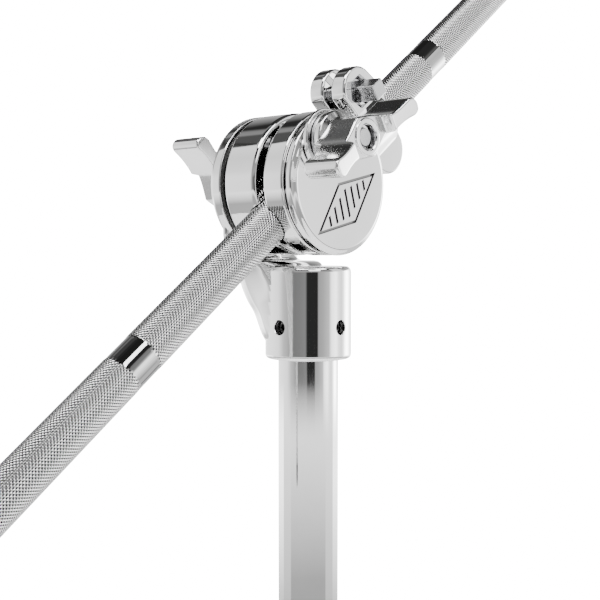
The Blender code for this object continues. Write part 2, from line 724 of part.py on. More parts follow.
def lock_half(name, material, boom, side):
    """Half of the hinged memory lock: an ear above the rod, a shell round it and a knuckle below."""
    low, high = LOCK_Y
    slot_low, slot_high = LOCK_SLOT
    mid = (slot_low + slot_high) / 2
    ear = arc(0, LOCK_EAR_OFFSET, LOCK_EAR_R, 28, 168, 8)
    waist = [(-LOCK_HALF_LENGTH + 1.8, LOCK_EAR_OFFSET - 5.2), (-LOCK_HALF_LENGTH + 1.0, -8.0)]
    knuckle = arc(2.0, -9.0, 8.4, 190, 350, 8)
    lean = [(LOCK_HALF_LENGTH + 2.0, -6.0), (LOCK_HALF_LENGTH + 2.6, LOCK_EAR_OFFSET - 3.2)]
    outline = ear + waist + knuckle + lean
    span = (low, slot_low) if side < 0 else (slot_high, high)
    place = (LOCK_AT, 0, 0)
    obj = made(name, extruded(outline, -span[1], -span[0]), material, boom, place, ALONG_MINUS_Y)
    shell = turned(solid_profile(LOCK_R, -LOCK_HALF_LENGTH, LOCK_HALF_LENGTH, 1.2))
    join(obj, helper(f"{name}_shell", shell, boom, (LOCK_AT, mid, 0), ALONG_X))
    bore = turned(cylinder_profile(ROD_R + GAP, -30, 30))
    cut(obj, helper(f"{name}_bore", bore, boom, (LOCK_AT, ROD_Y, 0), ALONG_X))
    seam = GAP / 2
    if side < 0:
        other_half = block((-40, mid - seam, -40), (40, 40, 40))
    else:
        other_half = block((-40, -40, -40), (40, mid + seam, 40))
    cut(obj, helper(f"{name}_other_half", other_half, boom, place))
    slot = block((-20, slot_low, LOCK_R - 3.0), (20, slot_high, 40))
    cut(obj, helper(f"{name}_slot", slot, boom, place))
    hole = turned(cylinder_profile(2.8, -30, 30), 12)
    cut(obj, helper(f"{name}_hole", hole, boom, (LOCK_AT, 0, LOCK_EAR_OFFSET), ALONG_PLUS_Y))
    pin = turned(cylinder_profile(1.9, -30, 30), 12)
    cut(obj, helper(f"{name}_pin_hole", pin, boom, (LOCK_AT, mid, -13.2), ALONG_X))
    return obj


def memory_lock(materials, boom):
    chrome = materials["chrome"]
    front = lock_half("boom_lock_front", chrome, boom, -1)
    lock_half("boom_lock_rear", chrome, boom, 1)
    pocket = extruded(arc(0, 0, 5.6, 0, 300, 5), 0, 10)
    face = LOCK_Y[0] + LOCK_POCKET
    cut(front, helper("boom_lock_pocket", pocket, boom, (LOCK_AT, face, LOCK_EAR_OFFSET), ALONG_MINUS_Y))
    at = (LOCK_AT, face - GAP, LOCK_EAR_OFFSET)
    steel = materials["dark_steel"]
    key_screw("boom_lock_screw", steel, boom, at, ALONG_MINUS_Y, 2.5, 12.5, 4.4, LOCK_SCREW_REACH)
    mid = (LOCK_SLOT[0] + LOCK_SLOT[1]) / 2
    pin = turned(cylinder_profile(1.6, -8.6, 8.6), 12)
    made("boom_lock_pin", pin, steel, boom, (LOCK_AT, mid, -13.2), ALONG_X)


# ---------------------------------------------------------------- cymbal end


def cymbal_end(materials, boom, cymbal):
    """The cymbal tilter: a socket with a disc on the rod, and a head with the upright screw."""
    chrome, steel = materials["chrome"], materials["dark_steel"]
    sleeve_start = ROD_SPAN[1] - 19.0
    place = (0, ROD_Y, 0)
    sleeve = turned(solid_profile(9.6, sleeve_start, CYMBAL_PIVOT_AT - 4.0, 1.0))
    body = made("cymbal_tilter_body", sleeve, chrome, boom, place, ALONG_X)
    disc = turned(disc_profile(CYMBAL_DISC_R, 0.2, 9.6, 0.5, 1.2))
    disc_at = (CYMBAL_PIVOT_AT, 0, 0)
    join(body, helper("cymbal_body_disc", disc, boom, disc_at, ALONG_MINUS_Y))
    clear = turned(cylinder_profile(CYMBAL_DISC_R + 0.8, 0.0, 20))
    cut(body, helper("cymbal_body_clear", clear, boom, disc_at, ALONG_PLUS_Y))
    bore = turned(cylinder_profile(ROD_R + GAP, sleeve_start - 5, ROD_SPAN[1] + GAP), 24)
    cut(body, helper("cymbal_body_bore", bore, boom, place, ALONG_X))
    hole = turned(cylinder_profile(3.3, -20, 20), 16)
    cut(body, helper("cymbal_body_hole", hole, boom, disc_at, ALONG_PLUS_Y))

    head_disc = turned(disc_profile(CYMBAL_DISC_R, 0.2, 9.6, 0.5, 1.2))
    head = made("cymbal_tilter_head", head_disc, chrome, cymbal, rotation=ALONG_PLUS_Y)
    boss_at = (0, CYMBAL_ROD_Y, 0)
    boss = turned([(0, 2), (6.4, 2), (6.4, 20), (5.6, 21), (0, 21)], 20)
    join(head, helper("cymbal_head_boss", boss, cymbal, boss_at))
    cut(head, helper("cymbal_head_hole", hole, cymbal, rotation=ALONG_PLUS_Y))
    socket = turned(cylinder_profile(CYMBAL_ROD_R + GAP, 7.7, 30), 16)
    cut(head, helper("cymbal_head_socket", socket, cymbal, boss_at))
    made("cymbal_rod", turned(cylinder_profile(CYMBAL_ROD_R, 8.0, 92.0), 16), steel, cymbal, boss_at)

    turn = ALONG_MINUS_Y @ about("Z", 60)
    wing_piece("cymbal_tilter_screw", chrome, cymbal, (0, -9.9, 0), turn, scale=0.75, stem=(3.0, 18.0))

    bore_r = CYMBAL_ROD_R + GAP
    cup = [(bore_r, 21.3), (15.5, 21.3), (17.5, 22.4), (17.5, 23.4), (15.2, 22.9), (bore_r, 22.9)]
    made("cup_washer", turned(cup, ring=True), chrome, cymbal, boss_at)
    sleeve = [(bore_r, 23.2), (9.0, 23.2), (9.0, 24.6), (6.2, 24.6), (6.2, 49.5), (bore_r, 49.5)]
    made("cymbal_sleeve", turned(sleeve, 20, ring=True), materials["nylon"], cymbal, boss_at)
    for name, low in (("lower_felt", 24.9), ("upper_felt", 37.2)):
        felt = ring_profile(6.5, 18.0, low, low + 12.0)
        made(name, turned(felt, ring=True), materials["felt"], cymbal, boss_at)
    nut_at = (0, CYMBAL_ROD_Y, 49.8)
    wing_piece("cymbal_wing_nut", chrome, cymbal, nut_at, about("Z", 25), scale=0.8, bore=bore_r)


def boom_assembly(materials):
    """Everything over the top tube. The tilter's frame sits on the hinge axis, and the boom's
    frame turns with it, so that its own X runs along the rod and its Z away from it."""
    tilter = empty("tilter_axis", (0, 0, TILTER_Z))
    boom = empty("boom_axis", (0, 0, 0), about("Y", -BOOM_ANGLE), tilter)
    tilter_base(materials, tilter)
    clamp_discs(materials, boom)
    tilter_hardware(materials, tilter, boom)
    boom_rod(materials, boom)
    memory_lock(materials, boom)
    cymbal = empty("cymbal_axis", (CYMBAL_PIVOT_AT, 0, 0), about("Y", BOOM_ANGLE), boom)
    cymbal_end(materials, boom, cymbal)


def main():
    clear_scene()
    materials = {name: principled(name, *values) for name, values in MATERIALS.items()}
    tripod(materials)
    height_tiers(materials)
    boom_assembly(materials)
    bpy.context.view_layer.update()


main()
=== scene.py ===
"""Looks of the cymbal boom stand: chrome castings, tubes and tripod with rounded edges, a rolled
diamond knurl on the boom rod, threads, felts and rubber, in a white studio.

Lengths are millimetres unless a name says otherwise; MM turns them into Blender's metres. Every
piece is modelled in the stand's own frame, made to replace the solid of the same name."""

import json
import math

import bmesh
import bpy
from mathutils import Matrix, Vector, noise


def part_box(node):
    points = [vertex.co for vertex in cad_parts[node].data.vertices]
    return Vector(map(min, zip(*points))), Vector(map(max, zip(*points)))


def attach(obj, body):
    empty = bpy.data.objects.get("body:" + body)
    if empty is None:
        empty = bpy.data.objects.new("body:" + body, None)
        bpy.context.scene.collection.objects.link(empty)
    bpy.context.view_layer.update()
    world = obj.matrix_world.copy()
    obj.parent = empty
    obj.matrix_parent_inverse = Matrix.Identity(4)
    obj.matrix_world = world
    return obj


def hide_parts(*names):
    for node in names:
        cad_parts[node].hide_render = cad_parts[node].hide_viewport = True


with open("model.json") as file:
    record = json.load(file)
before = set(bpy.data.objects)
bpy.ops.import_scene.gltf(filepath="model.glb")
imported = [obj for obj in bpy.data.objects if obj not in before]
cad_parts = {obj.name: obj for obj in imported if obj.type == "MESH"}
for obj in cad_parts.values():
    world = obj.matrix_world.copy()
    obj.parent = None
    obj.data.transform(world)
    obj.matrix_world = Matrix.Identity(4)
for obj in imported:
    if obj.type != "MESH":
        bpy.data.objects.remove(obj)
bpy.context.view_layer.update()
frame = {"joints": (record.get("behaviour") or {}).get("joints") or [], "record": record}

MM = 0.001
GAP = 0.3
RECORD = frame["record"]
JOINTS = {joint["name"]: joint for joint in frame["joints"]}
BODY_OF = {node: body for body, nodes in RECORD["behaviour"]["bodies"].items() for node in nodes}
SLOT_OF = {part["node"]: part["material_slot"] for part in RECORD["subparts"]}


def span_z(node):
    """Lowest and highest point of a node, in millimetres."""
    low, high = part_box(node)
    return low.z / MM, high.z / MM


def radius_of(node):
    """Radius of a node that is turned about Z, in millimetres."""
    low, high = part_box(node)
    return (high.x - low.x) / 2 / MM


# ---- places, from the frame

TILTER_Z = JOINTS["boom_tilt"]["pos_m"][2] / MM
COLLAR_PIVOT_Z = JOINTS["leg_1_fold"]["pos_m"][2] / MM
LEG_PIVOT_R = JOINTS["leg_1_fold"]["pos_m"][0] / MM
HUB_PIVOT_Z = JOINTS["brace_1_fold"]["pos_m"][2] / MM
BRACE_PIVOT_R = JOINTS["brace_1_fold"]["pos_m"][0] / MM
BOOM_DIRECTION = Vector(JOINTS["boom_slide"]["axis"])
BOOM_ANGLE = math.degrees(math.atan2(BOOM_DIRECTION.z, BOOM_DIRECTION.x))
LEG_AZIMUTHS = (0.0, 120.0, 240.0)


def turn(axis, degrees):
    return Matrix.Rotation(math.radians(degrees), 4, axis)


def shift(x, y, z):
    return Matrix.Translation((x, y, z))


ALONG_PLUS_Y = turn("X", -90)
ALONG_MINUS_Y = turn("X", 90)
ALONG_X = turn("Y", 90)


def radial(azimuth):
    """Turns a shape's Z axis to point away from the tubes at this azimuth, its Y axis down."""
    return turn("Z", azimuth) @ turn("Y", 90) @ turn("Z", 90)


# Sizes shared with the solids
BASE_TUBE_R = 14.3
MIDDLE_TUBE_R = 11.1
TOP_TUBE_R = 9.525
DISC_R = 22.5
SOCKET_R = 13.65
ROD_R = 6.35
ROD_Y = 0.95
ROD_SPAN = (-205.0, 275.0)
CLAMP_OFFSET = 15.0
LOCK_AT = 32.5
LOCK_EAR = 14.0
CYMBAL_PIVOT_AT = 292.0
CYMBAL_ROD_Y = 7.0

TILTER = shift(0, 0, TILTER_Z)
BOOM = TILTER @ turn("Y", -BOOM_ANGLE)
CYMBAL = BOOM @ shift(CYMBAL_PIVOT_AT, 0, 0) @ turn("Y", BOOM_ANGLE)
WORLD = Matrix.Identity(4)

ROUND = 96  # segments round a large piece
SMALL = 40  # segments round a small one
SHARP = math.radians(32)


# ---- mesh helpers


def solid(shape, place=WORLD):
    """An object in metres from a shape's points in millimetres and its place."""
    points, faces = shape
    mesh = bpy.data.meshes.new("shape")
    mesh.from_pydata([(place @ Vector(p)) * MM for p in points], [], faces)
    work = bmesh.new()
    work.from_mesh(mesh)
    bmesh.ops.recalc_face_normals(work, faces=work.faces)
    work.to_mesh(mesh)
    work.free()
    obj = bpy.data.objects.new("shape", mesh)
    bpy.context.scene.collection.objects.link(obj)
    return obj


def apply_modifiers(obj):
    graph = bpy.context.evaluated_depsgraph_get()
    mesh = bpy.data.meshes.new_from_object(obj.evaluated_get(graph))
    obj.modifiers.clear()
    old = obj.data
    obj.data = mesh
    bpy.data.meshes.remove(old)
    return obj


def boolean(target, other, operation):
    modifier = target.modifiers.new("boolean", "BOOLEAN")
    modifier.operation = operation
    modifier.solver = "EXACT"
    modifier.object = other
    apply_modifiers(target)
    bpy.data.objects.remove(other, do_unlink=True)
    return target


def join(target, other):
    return boolean(target, other, "UNION")


def cut(target, other):
    return boolean(target, other, "DIFFERENCE")


def rounded(obj, width, segments=3, angle=38):
    """Rounds every edge sharper than the angle."""
    modifier = obj.modifiers.new("rounded", "BEVEL")
    modifier.width = width * MM
    modifier.segments = segments
    modifier.limit_method = "ANGLE"
    modifier.angle_limit = math.radians(angle)
    return apply_modifiers(obj)


def turned(profile, segments=ROUND, ring=False):
    """A profile of (radius, height) turned about Z; a ring's profile is a closed loop."""
    points, rows = [], []
    for radius, height in profile:
        count = segments if radius > 1e-6 else 1
        rows.append([len(points) + i for i in range(count)])
        for i in range(count):
            angle = 2 * math.pi * i / segments
            points.append((radius * math.cos(angle), radius * math.sin(angle), height))
    pairs = list(zip(rows, rows[1:] + rows[:1])) if ring else list(zip(rows, rows[1:]))
    faces = []
    for low, high in pairs:
        for i in range(segments):
            j = (i + 1) % segments
            corners = [low[i % len(low)], low[j % len(low)], high[j % len(high)], high[i % len(high)]]
            faces.append(list(dict.fromkeys(corners)))
    return points, faces


def filleted(corners, steps=5):
    """A profile whose corners (radius, height, fillet) are rounded by arcs."""
    count = len(corners)
    path = []
    for i, (x, y, size) in enumerate(corners):
        if not size:
            path.append((x, y))
            continue
        here = Vector((x, y))
        before = Vector(corners[i - 1][:2]) - here
        after = Vector(corners[(i + 1) % count][:2]) - here
        reach = min(size, 0.48 * before.length, 0.48 * after.length)
        start = here + before.normalized() * reach
        end = here + after.normalized() * reach
        for k in range(steps + 1):
            t = k / steps
            point = start * (1 - t) ** 2 + here * 2 * t * (1 - t) + end * t**2
            path.append((point.x, point.y))
    return path


def cylinder(outer, low, high, edge=0.0):
    return filleted([(0, low, 0), (outer, low, edge), (outer, high, edge), (0, high, 0)])


def ring(inner, outer, low, high, edge=0.3):
    return filleted([(inner, low, edge), (outer, low, edge), (outer, high, edge), (inner, high, edge)])


def lofted(sections):
    """Through sections of equally many points each, with both ends capped."""
    count = len(sections[0])
    points = [p for section in sections for p in section]
    faces = [list(range(count)), [len(points) - count + i for i in range(count)]]
    for k in range(len(sections) - 1):
        for i in range(count):
            j = (i + 1) % count
            a, b = k * count, (k + 1) * count
            faces.append([a + i, a + j, b + j, b + i])
    return points, faces


def extruded(outline, low, high):
    return lofted([[(x, y, z) for x, y in outline] for z in (low, high)])


def block(low, high):
    (x0, y0, z0), (x1, y1, z1) = low, high
    return extruded([(x0, y0), (x1, y0), (x1, y1), (x0, y1)], z0, z1)


def arc(cx, cy, radius, start, end, steps):
    angles = [math.radians(start + (end - start) * i / steps) for i in range(steps + 1)]
    return [(cx + radius * math.cos(a), cy + radius * math.sin(a)) for a in angles]


def threaded(radius, low, high, pitch, plain_to=None, depth=0.35, segments=32):
    """A screw: its thread runs from plain_to up to the end, and the shank below is plain."""
    plain_to = low if plain_to is None else plain_to
    steps = max(2, int((high - low) / (pitch / 6)))
    rows = []
    for k in range(steps + 1):
        z = low + (high - low) * k / steps
        row = []
        for i in range(segments):
            phase = (z / pitch - i / segments) % 1.0
            tooth = abs(2 * phase - 1)
            run = min(1.0, max(0.0, (z - plain_to) / pitch)) * min(1.0, max(0.0, (high - z) / 0.5) + 0.15)
            r = radius - depth * (tooth if z > plain_to else 0.0) * run
            r -= 0.5 * max(0.0, 1 - (high - z) / 0.6)
            angle = 2 * math.pi * i / segments
            row.append((r * math.cos(angle), r * math.sin(angle), z))
        rows.append(row)
    return lofted(rows)


def lathe(profile, segments, place, ring=False):
    return solid(turned(profile, segments, ring), place)


def drill(target, place, radius, low, high, segments=SMALL):
    """Cuts a round hole along the place's Z axis."""
    return cut(target, lathe(cylinder(radius, low, high), segments, place))


def smooth(obj):
    """Smooth shading in which a large face keeps its own normal beside the small faces of a fillet."""
    obj.data.shade_smooth()
    obj.data.set_sharp_from_angle(angle=SHARP)
    weighted = obj.modifiers.new("weighted", "WEIGHTED_NORMAL")
    weighted.mode = "FACE_AREA"
    weighted.weight = 100
    weighted.keep_sharp = True
    return apply_modifiers(obj)


# ---- materials


def new_material(name):
    material = bpy.data.materials.new(name)
    material.use_nodes = True
    tree = material.node_tree
    return material, tree, tree.nodes["Principled BSDF"]


def surface_point(tree):
    return tree.nodes.new("ShaderNodeTexCoord").outputs["Object"]


def noise_node(tree, coordinates, scale, detail=3.0, roughness=0.6):
    node = tree.nodes.new("ShaderNodeTexNoise")
    node.inputs["Scale"].default_value = scale
    node.inputs["Detail"].default_value = detail
    node.inputs["Roughness"].default_value = roughness
    tree.links.new(coordinates, node.inputs["Vector"])
    return node.outputs["Fac"]


def ramp_node(tree, value, stops):
    node = tree.nodes.new("ShaderNodeValToRGB")
    elements = node.color_ramp.elements
    while len(elements) < len(stops):
        elements.new(0.5)
    for element, (position, colour) in zip(elements, stops):
        element.position = position
        element.color = (*colour, 1.0) if len(colour) == 3 else colour
    tree.links.new(value, node.inputs["Fac"])
    return node.outputs["Color"]


def bump_node(tree, height, strength, distance, normal=None):
    node = tree.nodes.new("ShaderNodeBump")
    node.inputs["Strength"].default_value = strength
    node.inputs["Distance"].default_value = distance
    tree.links.new(height, node.inputs["Height"])
    if normal is not None:
        tree.links.new(normal, node.inputs["Normal"])
    return node.outputs["Normal"]


def calc(tree, operation, *values):
    node = tree.nodes.new("ShaderNodeMath")
    node.operation = operation
    for socket, value in zip(node.inputs, values):
        if hasattr(value, "links"):
            tree.links.new(value, socket)
        else:
            socket.default_value = value
    return node.outputs["Value"]


def step_node(tree, value, start, width):
    """0 up to start, then rising to 1 over the width."""
    off = calc(tree, "DIVIDE", calc(tree, "SUBTRACT", value, start), width)
    return calc(tree, "MINIMUM", calc(tree, "MAXIMUM", off, 0.0), 1.0)


def mixed(tree, factor, first, second):
    """first where factor is 0, second where it is 1."""
    difference = calc(tree, "SUBTRACT", second, first)
    return calc(tree, "ADD", first, calc(tree, "MULTIPLY", factor, difference))


def grey(value):
    return (value, value, value)


def metal(name, low, high, rough_low, rough_high, wave, grain):
    """Plated metal: faint cloudiness in colour and gloss, hairline polish marks and a slow
    waviness of the surface under the plate."""
    material, tree, shader = new_material(name)
    where = surface_point(tree)
    cloud = noise_node(tree, where, 42.0, 4.0)
    tree.links.new(ramp_node(tree, cloud, [(0.3, low), (0.7, high)]), shader.inputs["Base Color"])
    stretch = tree.nodes.new("ShaderNodeMapping")
    stretch.inputs["Scale"].default_value = (2600.0, 2600.0, 240.0)
    tree.links.new(where, stretch.inputs["Vector"])
    hairs = noise_node(tree, stretch.outputs["Vector"], 1.0, 2.0)
    rough = ramp_node(tree, hairs, [(0.35, grey(rough_low)), (0.75, grey(rough_high))])
    tree.links.new(rough, shader.inputs["Roughness"])
    slow = bump_node(tree, noise_node(tree, where, 55.0, 1.0), 1.0, wave)
    fine = bump_node(tree, hairs, 1.0, grain, slow)
    tree.links.new(fine, shader.inputs["Normal"])
    shader.inputs["Metallic"].default_value = 1.0
    return material


def moulded(name, low, high, rough_low, rough_high, grain_scale, grain):
    """Moulded rubber or nylon: near black, with dusty patches and a fine mould grain."""
    material, tree, shader = new_material(name)
    where = surface_point(tree)
    patches = noise_node(tree, where, 90.0, 5.0)
    tree.links.new(ramp_node(tree, patches, [(0.35, low), (0.75, high)]), shader.inputs["Base Color"])
    rough = ramp_node(tree, patches, [(0.3, grey(rough_low)), (0.7, grey(rough_high))])
    tree.links.new(rough, shader.inputs["Roughness"])
    pits = noise_node(tree, where, grain_scale, 3.0)
    tree.links.new(bump_node(tree, pits, 1.0, grain), shader.inputs["Normal"])
    return material


def own_axes(tree, place):
    """A surface point's coordinates in metres in the frame that a piece was modelled in."""
    where = surface_point(tree)
    inverse = place.inverted()
    values = []
    for row in range(3):
        dot = tree.nodes.new("ShaderNodeVectorMath")
        dot.operation = "DOT_PRODUCT"
        tree.links.new(where, dot.inputs[0])
        dot.inputs[1].default_value = inverse[row][:3]
        values.append(calc(tree, "ADD", dot.outputs["Value"], inverse[row][3] * MM))
    return values


def from_axis(tree, x, y):
    squares = [calc(tree, "MULTIPLY", value, value) for value in (x, y)]
    return calc(tree, "SQRT", calc(tree, "ADD", *squares))


def darken(tree, shader, shade):
    """Multiplies the base colour by a shade."""
    mix = tree.nodes.new("ShaderNodeMix")
    mix.data_type = "RGBA"
    mix.blend_type = "MULTIPLY"
    mix.inputs["Factor"].default_value = 1.0
    plated = shader.inputs["Base Color"].links[0].from_socket
    colours = [socket for socket in mix.inputs if socket.type == "RGBA"]
    tree.links.new(plated, colours[0])
    tree.links.new(shade, colours[1])
    result = [socket for socket in mix.outputs if socket.type == "RGBA"][0]
    tree.links.new(result, shader.inputs["Base Color"])


def paint_pit_shade(material, place, top, depth):
    """Paints shade into the base colour of a turned surface where it lies lower than its top: painted shade
    in the pits, darkest at their bottoms.
    """
    tree = material.node_tree
    x, y = own_axes(tree, place)[:2]
    radius = from_axis(tree, x, y)
    level = step_node(tree, radius, (top - depth) * MM, depth * MM)
    stops = [(0.0, grey(0.02)), (0.5, grey(0.1)), (0.88, grey(1.0))]
    darken(tree, tree.nodes["Principled BSDF"], ramp_node(tree, level, stops))


def polish_bands(material, place, bands):
    """Smooth plate between the given distances along a turned surface's axis."""
    tree = material.node_tree
    shader = tree.nodes["Principled BSDF"]
    z = own_axes(tree, place)[2]
    rough = shader.inputs["Roughness"].links[0].from_socket
    for low, high in bands:
        above = calc(tree, "GREATER_THAN", z, low * MM)
        below = calc(tree, "LESS_THAN", z, high * MM)
        band = calc(tree, "MULTIPLY", above, below)
        rough = mixed(tree, band, rough, 0.04)
    tree.links.new(rough, shader.inputs["Roughness"])


def paint_groove_shade(material, place, radius, start):
    """Paints shade into the base colour of what lies deeper than start within a radius of the axis: painted
    shade in the engraved grooves.
    """
    tree = material.node_tree
    x, y, z = own_axes(tree, place)
    inside = calc(tree, "LESS_THAN", from_axis(tree, x, y), radius * MM)
    deep = step_node(tree, z, start * MM, 0.1 * MM)
    painted_shade_amount = calc(tree, "MULTIPLY", inside, deep)
    stops = [(0.0, grey(1.0)), (1.0, grey(0.24))]
    darken(tree, tree.nodes["Principled BSDF"], ramp_node(tree, painted_shade_amount, stops))


def felt_material(name):
    """Pressed wool: tangled fibres, flecked grey."""
    material, tree, shader = new_material(name)
    where = surface_point(tree)
    fleck = noise_node(tree, where, 620.0, 6.0, 0.75)
    colour = [(0.3, (0.09, 0.09, 0.095)), (0.55, (0.2, 0.2, 0.205)), (0.75, (0.42, 0.42, 0.43))]
    tree.links.new(ramp_node(tree, fleck, colour), shader.inputs["Base Color"])
    fibres = tree.nodes.new("ShaderNodeTexVoronoi")
    fibres.inputs["Scale"].default_value = 900.0
    tree.links.new(where, fibres.inputs["Vector"])
    coarse = bump_node(tree, fleck, 1.0, 0.0006)
    tree.links.new(bump_node(tree, fibres.outputs["Distance"], 0.8, 0.0003, coarse), shader.inputs["Normal"])
    shader.inputs["Roughness"].default_value = 0.95
    shader.inputs["Sheen Weight"].default_value = 0.5
    shader.inputs["Sheen Roughness"].default_value = 0.4
    return material


POLISHED = (grey(0.80), grey(0.86), 0.025, 0.055, 0.000012, 0.0000004)
MATERIALS = {
    "chrome": metal("chrome", *POLISHED),
    # The cover's chrome: its engraved grooves get painted shade in the base colour further down.
    "engraved_chrome": metal("engraved_chrome", *POLISHED),
    "cast_chrome": metal("cast_chrome", grey(0.78), grey(0.85), 0.1, 0.2, 0.000012, 0.0000008),
    # Its pits get painted shade in the base colour further down.
    "knurled_chrome": metal("knurled_chrome", grey(0.76), grey(0.86), 0.12, 0.22, 0.000010, 0.000001),
    "steel": metal("steel", (0.36, 0.36, 0.37), (0.52, 0.52, 0.53), 0.2, 0.32, 0.00001, 0.000001),
    "blackened": metal("blackened", grey(0.03), grey(0.07), 0.25, 0.4, 0.00001, 0.000004),
    "rubber": moulded("rubber", grey(0.012), grey(0.035), 0.55, 0.8, 1900.0, 0.00012),
    "nylon": moulded("nylon", grey(0.012), grey(0.028), 0.32, 0.5, 1200.0, 0.00006),
    "felt": felt_material("felt"),
}


# ---- handing pieces to the frame

def stands_for(obj, node, finish=None):
    """Names a finished piece, gives it its finish and the node's body, and replaces the node."""
    obj.name = f"{node}_fine"
    obj.data.name = obj.name
    obj.data.materials.clear()
    obj.data.materials.append(MATERIALS[finish or SLOT_OF[node]])
    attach(obj, BODY_OF[node])
    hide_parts(node)
    return obj


def piece(node, shape, place=WORLD):
    return stands_for(smooth(solid(shape, place)), node)


# ---- shared hardware

WING_DEPTH = 13.2
WING_ROOT = 8.9
WING_STEP = 3.2
WING_LEAN = 0.14
WING_TIP = 21.8
# Upper edge of the wing nut seen from its end; the lower edge is the same after half a turn
WING_TOP = (
    (-21.8, 0.3), (-21.5, 1.4), (-20.8, 2.3), (-19.6, 2.7), (-17.0, 2.45), (-15.0, 2.4),
    (-13.0, 2.55), (-11.0, 2.85), (-9.0, 3.35), (-7.0, 4.05), (-5.0, 4.9), (-3.0, 5.85),
    (-1.2, 6.9), (5.5, 4.6), (8.9, 2.7), (9.9, 2.4), (12.0, 2.2), (15.0, 2.45), (18.9, 3.2),
    (20.4, 2.8), (21.3, 1.7), (21.8, 0.3),
)
# Distances from the middle at which the wing nut is sectioned, closest at the root and the tip
WING_STATIONS = (
    0.0, 1.2, 2.6, 4.0, 5.5, 7.0, 8.0, 8.6, 8.9, 9.05, 9.2, 9.35, 9.5, 9.65, 9.8, 9.95, 10.3, 10.9,
    11.6, 12.4, 13.4, 14.5, 15.6, 16.7, 17.7, 18.6, 19.3, 19.9, 20.4, 20.8, 21.1, 21.35, 21.55,
    21.7, 21.78, 21.8,
)


def edge_at(x):
    """Height of the upper edge at one place along the nut."""
    for (x0, y0), (x1, y1) in zip(WING_TOP, WING_TOP[1:]):
        if x <= x1:
            return y0 + (y1 - y0) * max(0.0, (x - x0) / (x1 - x0))
    return WING_TOP[-1][1]


def eased_edge(x):
    """The upper edge with its corners eased."""
    steps = [edge_at(x + 0.2 * k) for k in range(-3, 4)]
    return sum(steps) / len(steps)


def wing_section(x, corner_steps=5):
    """A rounded rectangle across the wing nut at one place along it, x from its middle."""
    top, bottom = eased_edge(x), -eased_edge(-x)
    beyond = abs(x) - WING_ROOT
    rise = min(1.0, max(0.0, beyond / 1.0))
    forward = WING_STEP * rise * rise * (3 - 2 * rise) + WING_LEAN * max(0.0, beyond - 1.0)
    near_tip = min(1.0, max(0.0, 1 - (WING_TIP - abs(x)) / 1.1))
    inset = 0.9 * (1 - math.sqrt(1 - near_tip * near_tip))
    low, high = 0.4 + forward + inset, WING_DEPTH + forward - inset
    r = min(0.8, 0.46 * (top - bottom))
    corners = [(top - r, high - r, 0), (bottom + r, high - r, 90)]
    corners += [(bottom + r, low + r, 180), (top - r, low + r, 270)]
    points = []
    for y, z, start in corners:
        for k in range(corner_steps + 1):
            angle = math.radians(start + 90 * k / corner_steps)
            points.append((x, y + r * math.cos(angle), z + r * math.sin(angle)))
    return points


def wing_shape(scale):
    """Two wings on a block, lofted from tip to tip; the wings stand forward of the block."""
    stations = [-x for x in reversed(WING_STATIONS[1:])] + list(WING_STATIONS)
    points, faces = lofted([wing_section(x) for x in stations])
    return [(x * scale, y * scale, z * scale) for x, y, z in points], faces


def wing_piece(node, place, scale=1.0, stem=None, bore=None):
    """A cast wing nut with a through bore, or a wing bolt with a threaded stem."""
    obj = solid(wing_shape(scale), place)
    top = 13.7 * scale
    hub = [(0, 0, 0), (8.6 * scale, 0, 0.5), (8.6 * scale, 2.0 * scale, 0.5), (5.9 * scale, 3.6 * scale, 1.0)]
    hub += [(5.6 * scale, top, 0.6), (0, top, 0)]
    join(obj, lathe(filleted(hub), 64, place))
    if stem:
        stem_r, stem_length = stem
        join(obj, solid(threaded(stem_r, -stem_length, 1.0, 1.0, None, 0.3, 32), place))
    if bore:
        wide = bore + 0.6
        mouth = [(0, -1), (bore, -1), (bore, top - 3), (wide, top - 2.6), (wide, top - 0.3)]
        mouth += [(wide + 0.35, top + 0.05), (wide + 0.35, top + 1), (0, top + 1)]
        cut(obj, lathe(mouth, 48, place))
    return stands_for(smooth(obj), node, "cast_chrome")


def key_screw(node, place, radius, length, head, reach=6.0):
    """A drum-key screw: a square head on a flange, with a threaded shank."""
    side = head * 0.62
    square = [(-side, -side), (side, -side), (side, side), (-side, side)]
    obj = rounded(solid(extruded(square, 0.9, reach), place), 0.45, 3)
    join(obj, lathe(cylinder(head, 0, 1.2, 0.3), SMALL, place))
    join(obj, solid(threaded(radius, -length, 0.2, 0.8, None, 0.25, 28), place))
    return stands_for(smooth(obj), node)


def set_screw(node, place, face, radius, depth_to):
    """A socket set screw, seen end on in its hole."""
    body = filleted([(0, depth_to, 0), (radius, depth_to, 0), (radius, face, 0.35), (0, face, 0)])
    obj = lathe(body, SMALL, place)
    hexagon = arc(0, 0, radius * 0.6, 0, 300, 5)
    cut(obj, solid(extruded(hexagon, face - 1.3, face + 1), place))
    return stands_for(smooth(obj), node, "blackened")


# ---- tripod

LEG_SLOPE = 46.0
LEG_LENGTH = 420.0
LEG_STRIP = (4.4, 6.2)
LEG_HALF_WIDTH = 8.0
FOOT_SPAN = (394.0, 441.9)
FOOT_HALF = (12.0, 10.95)
BRACE_MEETS_LEG = 190.0
BRACE_STRIP = (6.6, 8.2)
BRACE_HALF_WIDTH = 6.0
PIN_R = 3.0
LUG_HALF = 4.0


